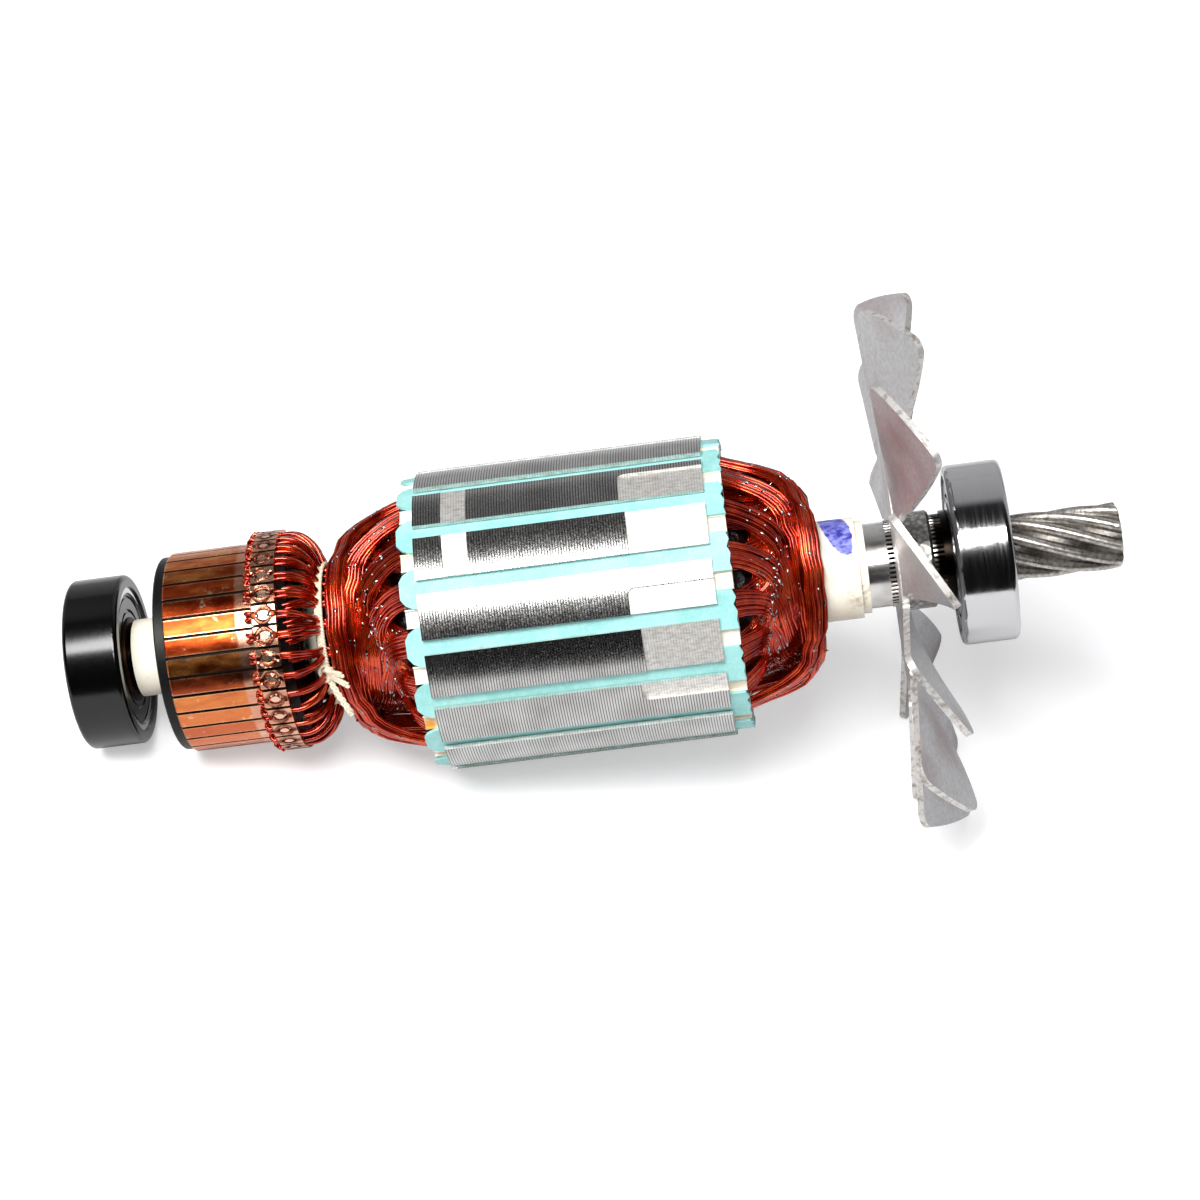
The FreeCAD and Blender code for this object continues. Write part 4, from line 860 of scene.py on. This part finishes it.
draw = random.Random(5)
lead_paths = []
for bar in range(BARS):
    start = BAR_PHASE + (bar + 0.5) * 360.0 / BARS
    meeting = BAR_PHASE + (bar // 2 * 2 + 1) * 360.0 / BARS
    for strand in range(LEAD_STRANDS):
        bulge = draw.uniform(0.2, 1.6)
        aside = (strand % 2 - 0.5) * LEAD_PAIR_TURN + strand // 2 * 180.0 / BARS
        swing = (meeting - start) * 0.8 + draw.uniform(-6.0, 6.0) * (1 + strand // 2)
        top = LEAD_TOP_RADIUS - strand * 0.65 - strand // 2 * 1.4
        low = LEAD_NECK_RADIUS - strand * 0.45
        path = []
        for step in range(LEAD_STEPS):
            u = step / (LEAD_STEPS - 1)
            along = LEAD_ENDS[0] + (LEAD_ENDS[1] - LEAD_ENDS[0]) * (1 - (1 - min(1.0, u * 1.05)) ** 1.35)
            drop = min(1.0, (along - LEAD_ENDS[0]) / (LEAD_NECK_PLACE - LEAD_ENDS[0]))
            fall = 1 - math.sqrt(max(0.0, 1 - drop ** 2.2))
            lead_at = top + (low - top) * fall + bulge * math.sin(math.pi * drop) * 0.25
            path.append(on_shaft(along, lead_at, start + aside * (1 - u) + swing * u * u))
        lead_paths.append(path)
leads = wires("lead_wire_pairs", lead_paths, enamel, LEAD_RADIUS, corners=8)
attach(leads, "wound_rotor")
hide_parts("lead_wires")
# A nearly black cone under the leads: varnish, and painted shade for the deep shade there.
lead_varnish_and_shade = turned_shell("lead_varnish_and_shade", LEAD_VARNISH_AND_SHADE, varnish)
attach(lead_varnish_and_shade, "wound_rotor")


# Binding cord.
# Flat plaited polyester cord laid once round the neck, knotted in front, with its three ends left
# standing over the coils.

CORD_PLACE = -21.3
CORD_RADIUS = 13.75
CORD_STRAND, KNOT_STRAND, TAIL_STRAND = 0.3, 0.34, 0.27
PLAITS = 46
PLAIT_STEPS = 10
KNOT_TURN = 30.0
KNOT_STEPS = 60
TAIL_STEPS = 24

# Undyed polyester yarn: cream, matt, a little dirty between the strands.
lacing, tree = new_material("plaited_polyester_cord")
place = shaft_places(tree)[0]
yarn = noise(tree, place, 0.25, 2.0)
skin(tree, {
    "Base Color": mix(tree, rescaled(tree, yarn, 0.4, 0.7), "#f0e6d0", "#cdbf9f"),
    "Roughness": 0.75,
    "Normal": bump(tree, yarn, 0.1, 0.6),
})


def plait(spine, widths, count, closed):
    """Three strands plaited flat along a spine; each point of it is (place, sideways, outwards)."""
    strands = []
    for strand in range(3):
        path = []
        for step, (middle, aside, out) in enumerate(spine):
            phase = 2 * math.pi * (count * step / (len(spine) - 1) + strand / 3)
            path.append(middle + aside * (widths[0] * MM * math.sin(phase))
                        + out * (widths[1] * MM * math.sin(2 * phase)))
        strands.append(path[:-1] if closed else path)
    return strands


spine = []
for step in range(PLAITS * PLAIT_STEPS + 1):
    turn = 360.0 * step / (PLAITS * PLAIT_STEPS)
    middle = on_shaft(CORD_PLACE, CORD_RADIUS, turn)
    out = (middle - on_shaft(CORD_PLACE)).normalized()
    spine.append((middle, shaft_axis, out))
ring_strands = plait(spine, (0.6, 0.2), PLAITS, True)
ring = wires("binding_cord_ring", ring_strands, lacing, CORD_STRAND, closed=True)

knot_middle = on_shaft(CORD_PLACE, CORD_RADIUS + 0.75, KNOT_TURN)
knot_out = (knot_middle - on_shaft(CORD_PLACE)).normalized()
knot_aside = knot_out.cross(shaft_axis)
knot_paths = []
for strand in range(3):
    path = []
    for step in range(KNOT_STEPS):
        turn = 2 * math.pi * step / KNOT_STEPS
        loop = 0.95 + 0.42 * math.cos(3 * turn)
        path.append(knot_middle
                    + shaft_axis * (loop * math.cos(2 * turn) * 1.05 * MM)
                    + knot_aside * (loop * math.sin(2 * turn) * 1.25 * MM)
                    + knot_out * ((0.5 * math.sin(3 * turn) + (strand - 1) * 0.34) * MM))
    knot_paths.append(path)
knot = wires("binding_cord_knot", knot_paths, lacing, KNOT_STRAND, closed=True)

tails = []
for ends in (
    [(-21.0, 15.0, 30.0), (-19.2, 17.3, 26.0), (-17.4, 19.2, 25.0)],
    [(-21.0, 15.0, 31.0), (-18.8, 17.6, 30.5), (-16.6, 19.9, 31.0)],
    [(-21.0, 14.9, 33.0), (-19.7, 16.6, 44.0), (-18.3, 18.4, 51.0), (-17.4, 19.3, 58.0)],
):
    spots = [on_shaft(*end) for end in ends]
    spine = []
    for step in range(TAIL_STEPS + 1):
        share = step / TAIL_STEPS
        middle = Vector(on_line(spots, share))
        ahead = Vector(on_line(spots, share + 0.05)) - Vector(on_line(spots, share - 0.05))
        out = (middle - on_shaft(CORD_PLACE)).normalized()
        spine.append((middle, ahead.cross(out).normalized(), out))
    tails += plait(spine, (0.5, 0.12), 2.5, False)
tail_ends = wires("binding_cord_tails", tails, lacing, TAIL_STRAND)
for piece in (ring, knot, tail_ends):
    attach(piece, "wound_rotor")
    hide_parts("binding_cord")


# Fan and its collar.
# Stamped from one sheet of zinc-coated steel, grey and satin, with the sheared edges brighter and
# brown stains where oil has baked on. The collar is a turned ring, swaged round its rim.

# Zinc-coated sheet: finely mottled, with baked stains, brighter sheared edges and small nicks.
fan_metal, tree = new_material("stamped_zinc_coated_sheet")
place = shaft_places(tree)[0]
cloud = noise(tree, place, 14, 5.0)
mottle = noise(tree, place, 0.8, 5.0, 0.65)
grey = mix(tree, rescaled(tree, mottle, 0.35, 0.7), "#d0cfcf", "#b9b8ba")
baked = rescaled(tree, cloud, 0.5, 0.7, 0.0, 0.6)
stained = mix(tree, baked, grey, "#a18e8d")
normal = add(tree, "ShaderNodeNewGeometry").outputs["True Normal"]
facing = add(tree, "ShaderNodeVectorMath", (normal, shaft_axis), operation="DOT_PRODUCT")
facing = maths(tree, "ABSOLUTE", facing.outputs["Value"])
sheared = rescaled(tree, facing, 0.66, 0.56)
torn = noise(tree, place, 1.4, 4.0, 0.7)
torn_tone = mix(tree, rescaled(tree, torn, 0.48, 0.66), "#dddbd8", "#a0958c")
fan_tone = mix(tree, sheared, stained, torn_tone)
nicks = rescaled(tree, torn, 0.7, 0.76, 0.0, 0.8)
nicked = mix(tree, nicks, fan_tone, "#4c4641")
skin(tree, {
    "Metallic": 0.72,
    "Base Color": nicked,
    "Roughness": rescaled(tree, mottle, 0.2, 0.8, 0.4, 0.55),
    "Normal": bump(tree, mottle, 0.05, 0.35),
})
dress("cooling_fan", fan_metal)

# Swaged steel: crinkled round the rim, so it breaks up into bright and dark facets.
crinkled, tree = new_material("crinkled_swaged_steel")
place = shaft_places(tree)[0]
facets = add(tree, "ShaderNodeTexVoronoi", {"Vector": place, "Scale": 1000 / 1.0})
skin(tree, {
    "Metallic": 1.0,
    "Base Color": mix(tree, rescaled(tree, facets, 0.2, 0.7), "#d2d0cd", "#8f8b86"),
    "Roughness": 0.34,
    "Normal": bump(tree, facets, 0.15, 0.6),
})
dress("fan_collar", crinkled)


# Bearings.
# Polished chrome steel rings with black rubber seals. The boot is a moulded black rubber sleeve that
# holds the bearing at the commutator end in its housing.

# Honed and polished bearing steel, with a few faint rings.
chrome_steel, tree = new_material("polished_bearing_steel")
place = shaft_places(tree)[0]
scuff = noise(tree, stretched(tree, place, (14.0, 1.0, 1.0)), 6, 4.0)
skin(tree, {
    "Metallic": 1.0,
    "Base Color": "#d2d2d3",
    "Roughness": rescaled(tree, scuff, 0.3, 0.8, 0.08, 0.18),
    "Normal": bump(tree, scuff, 0.01, 0.3),
})

# Nitrile rubber: deep black with a soft shine, and a little lint.
rubber, tree = new_material("moulded_nitrile_rubber")
place = shaft_places(tree)[0]
lint = noise(tree, place, 0.5, 6.0, 0.75)
skin(tree, {
    "Base Color": mix(tree, rescaled(tree, lint, 0.68, 0.8), "#030303", "#2c2a28"),
    "Roughness": rescaled(tree, lint, 0.3, 0.8, 0.14, 0.22),
})

# Bearing steel browned by oil and rust, where the inner ring meets the tube.
browned, tree = new_material("browned_bearing_steel")
place = shaft_places(tree)[0]
rust = noise(tree, place, 1.5, 5.0)
skin(tree, {
    "Metallic": 1.0,
    "Base Color": mix(tree, rust, "#1c1411", "#553322"),
    "Roughness": 0.45,
})
for prefix in ("pinion_bearing", "tail_bearing"):
    for part in ("_inner_ring", "_outer_ring", "_balls", "_cage"):
        dress(prefix + part, chrome_steel)
    for part in ("_seal_left", "_seal_right"):
        dress(prefix + part, rubber)
dress("bearing_boot", rubber)
dress("tail_bearing_inner_ring", browned)
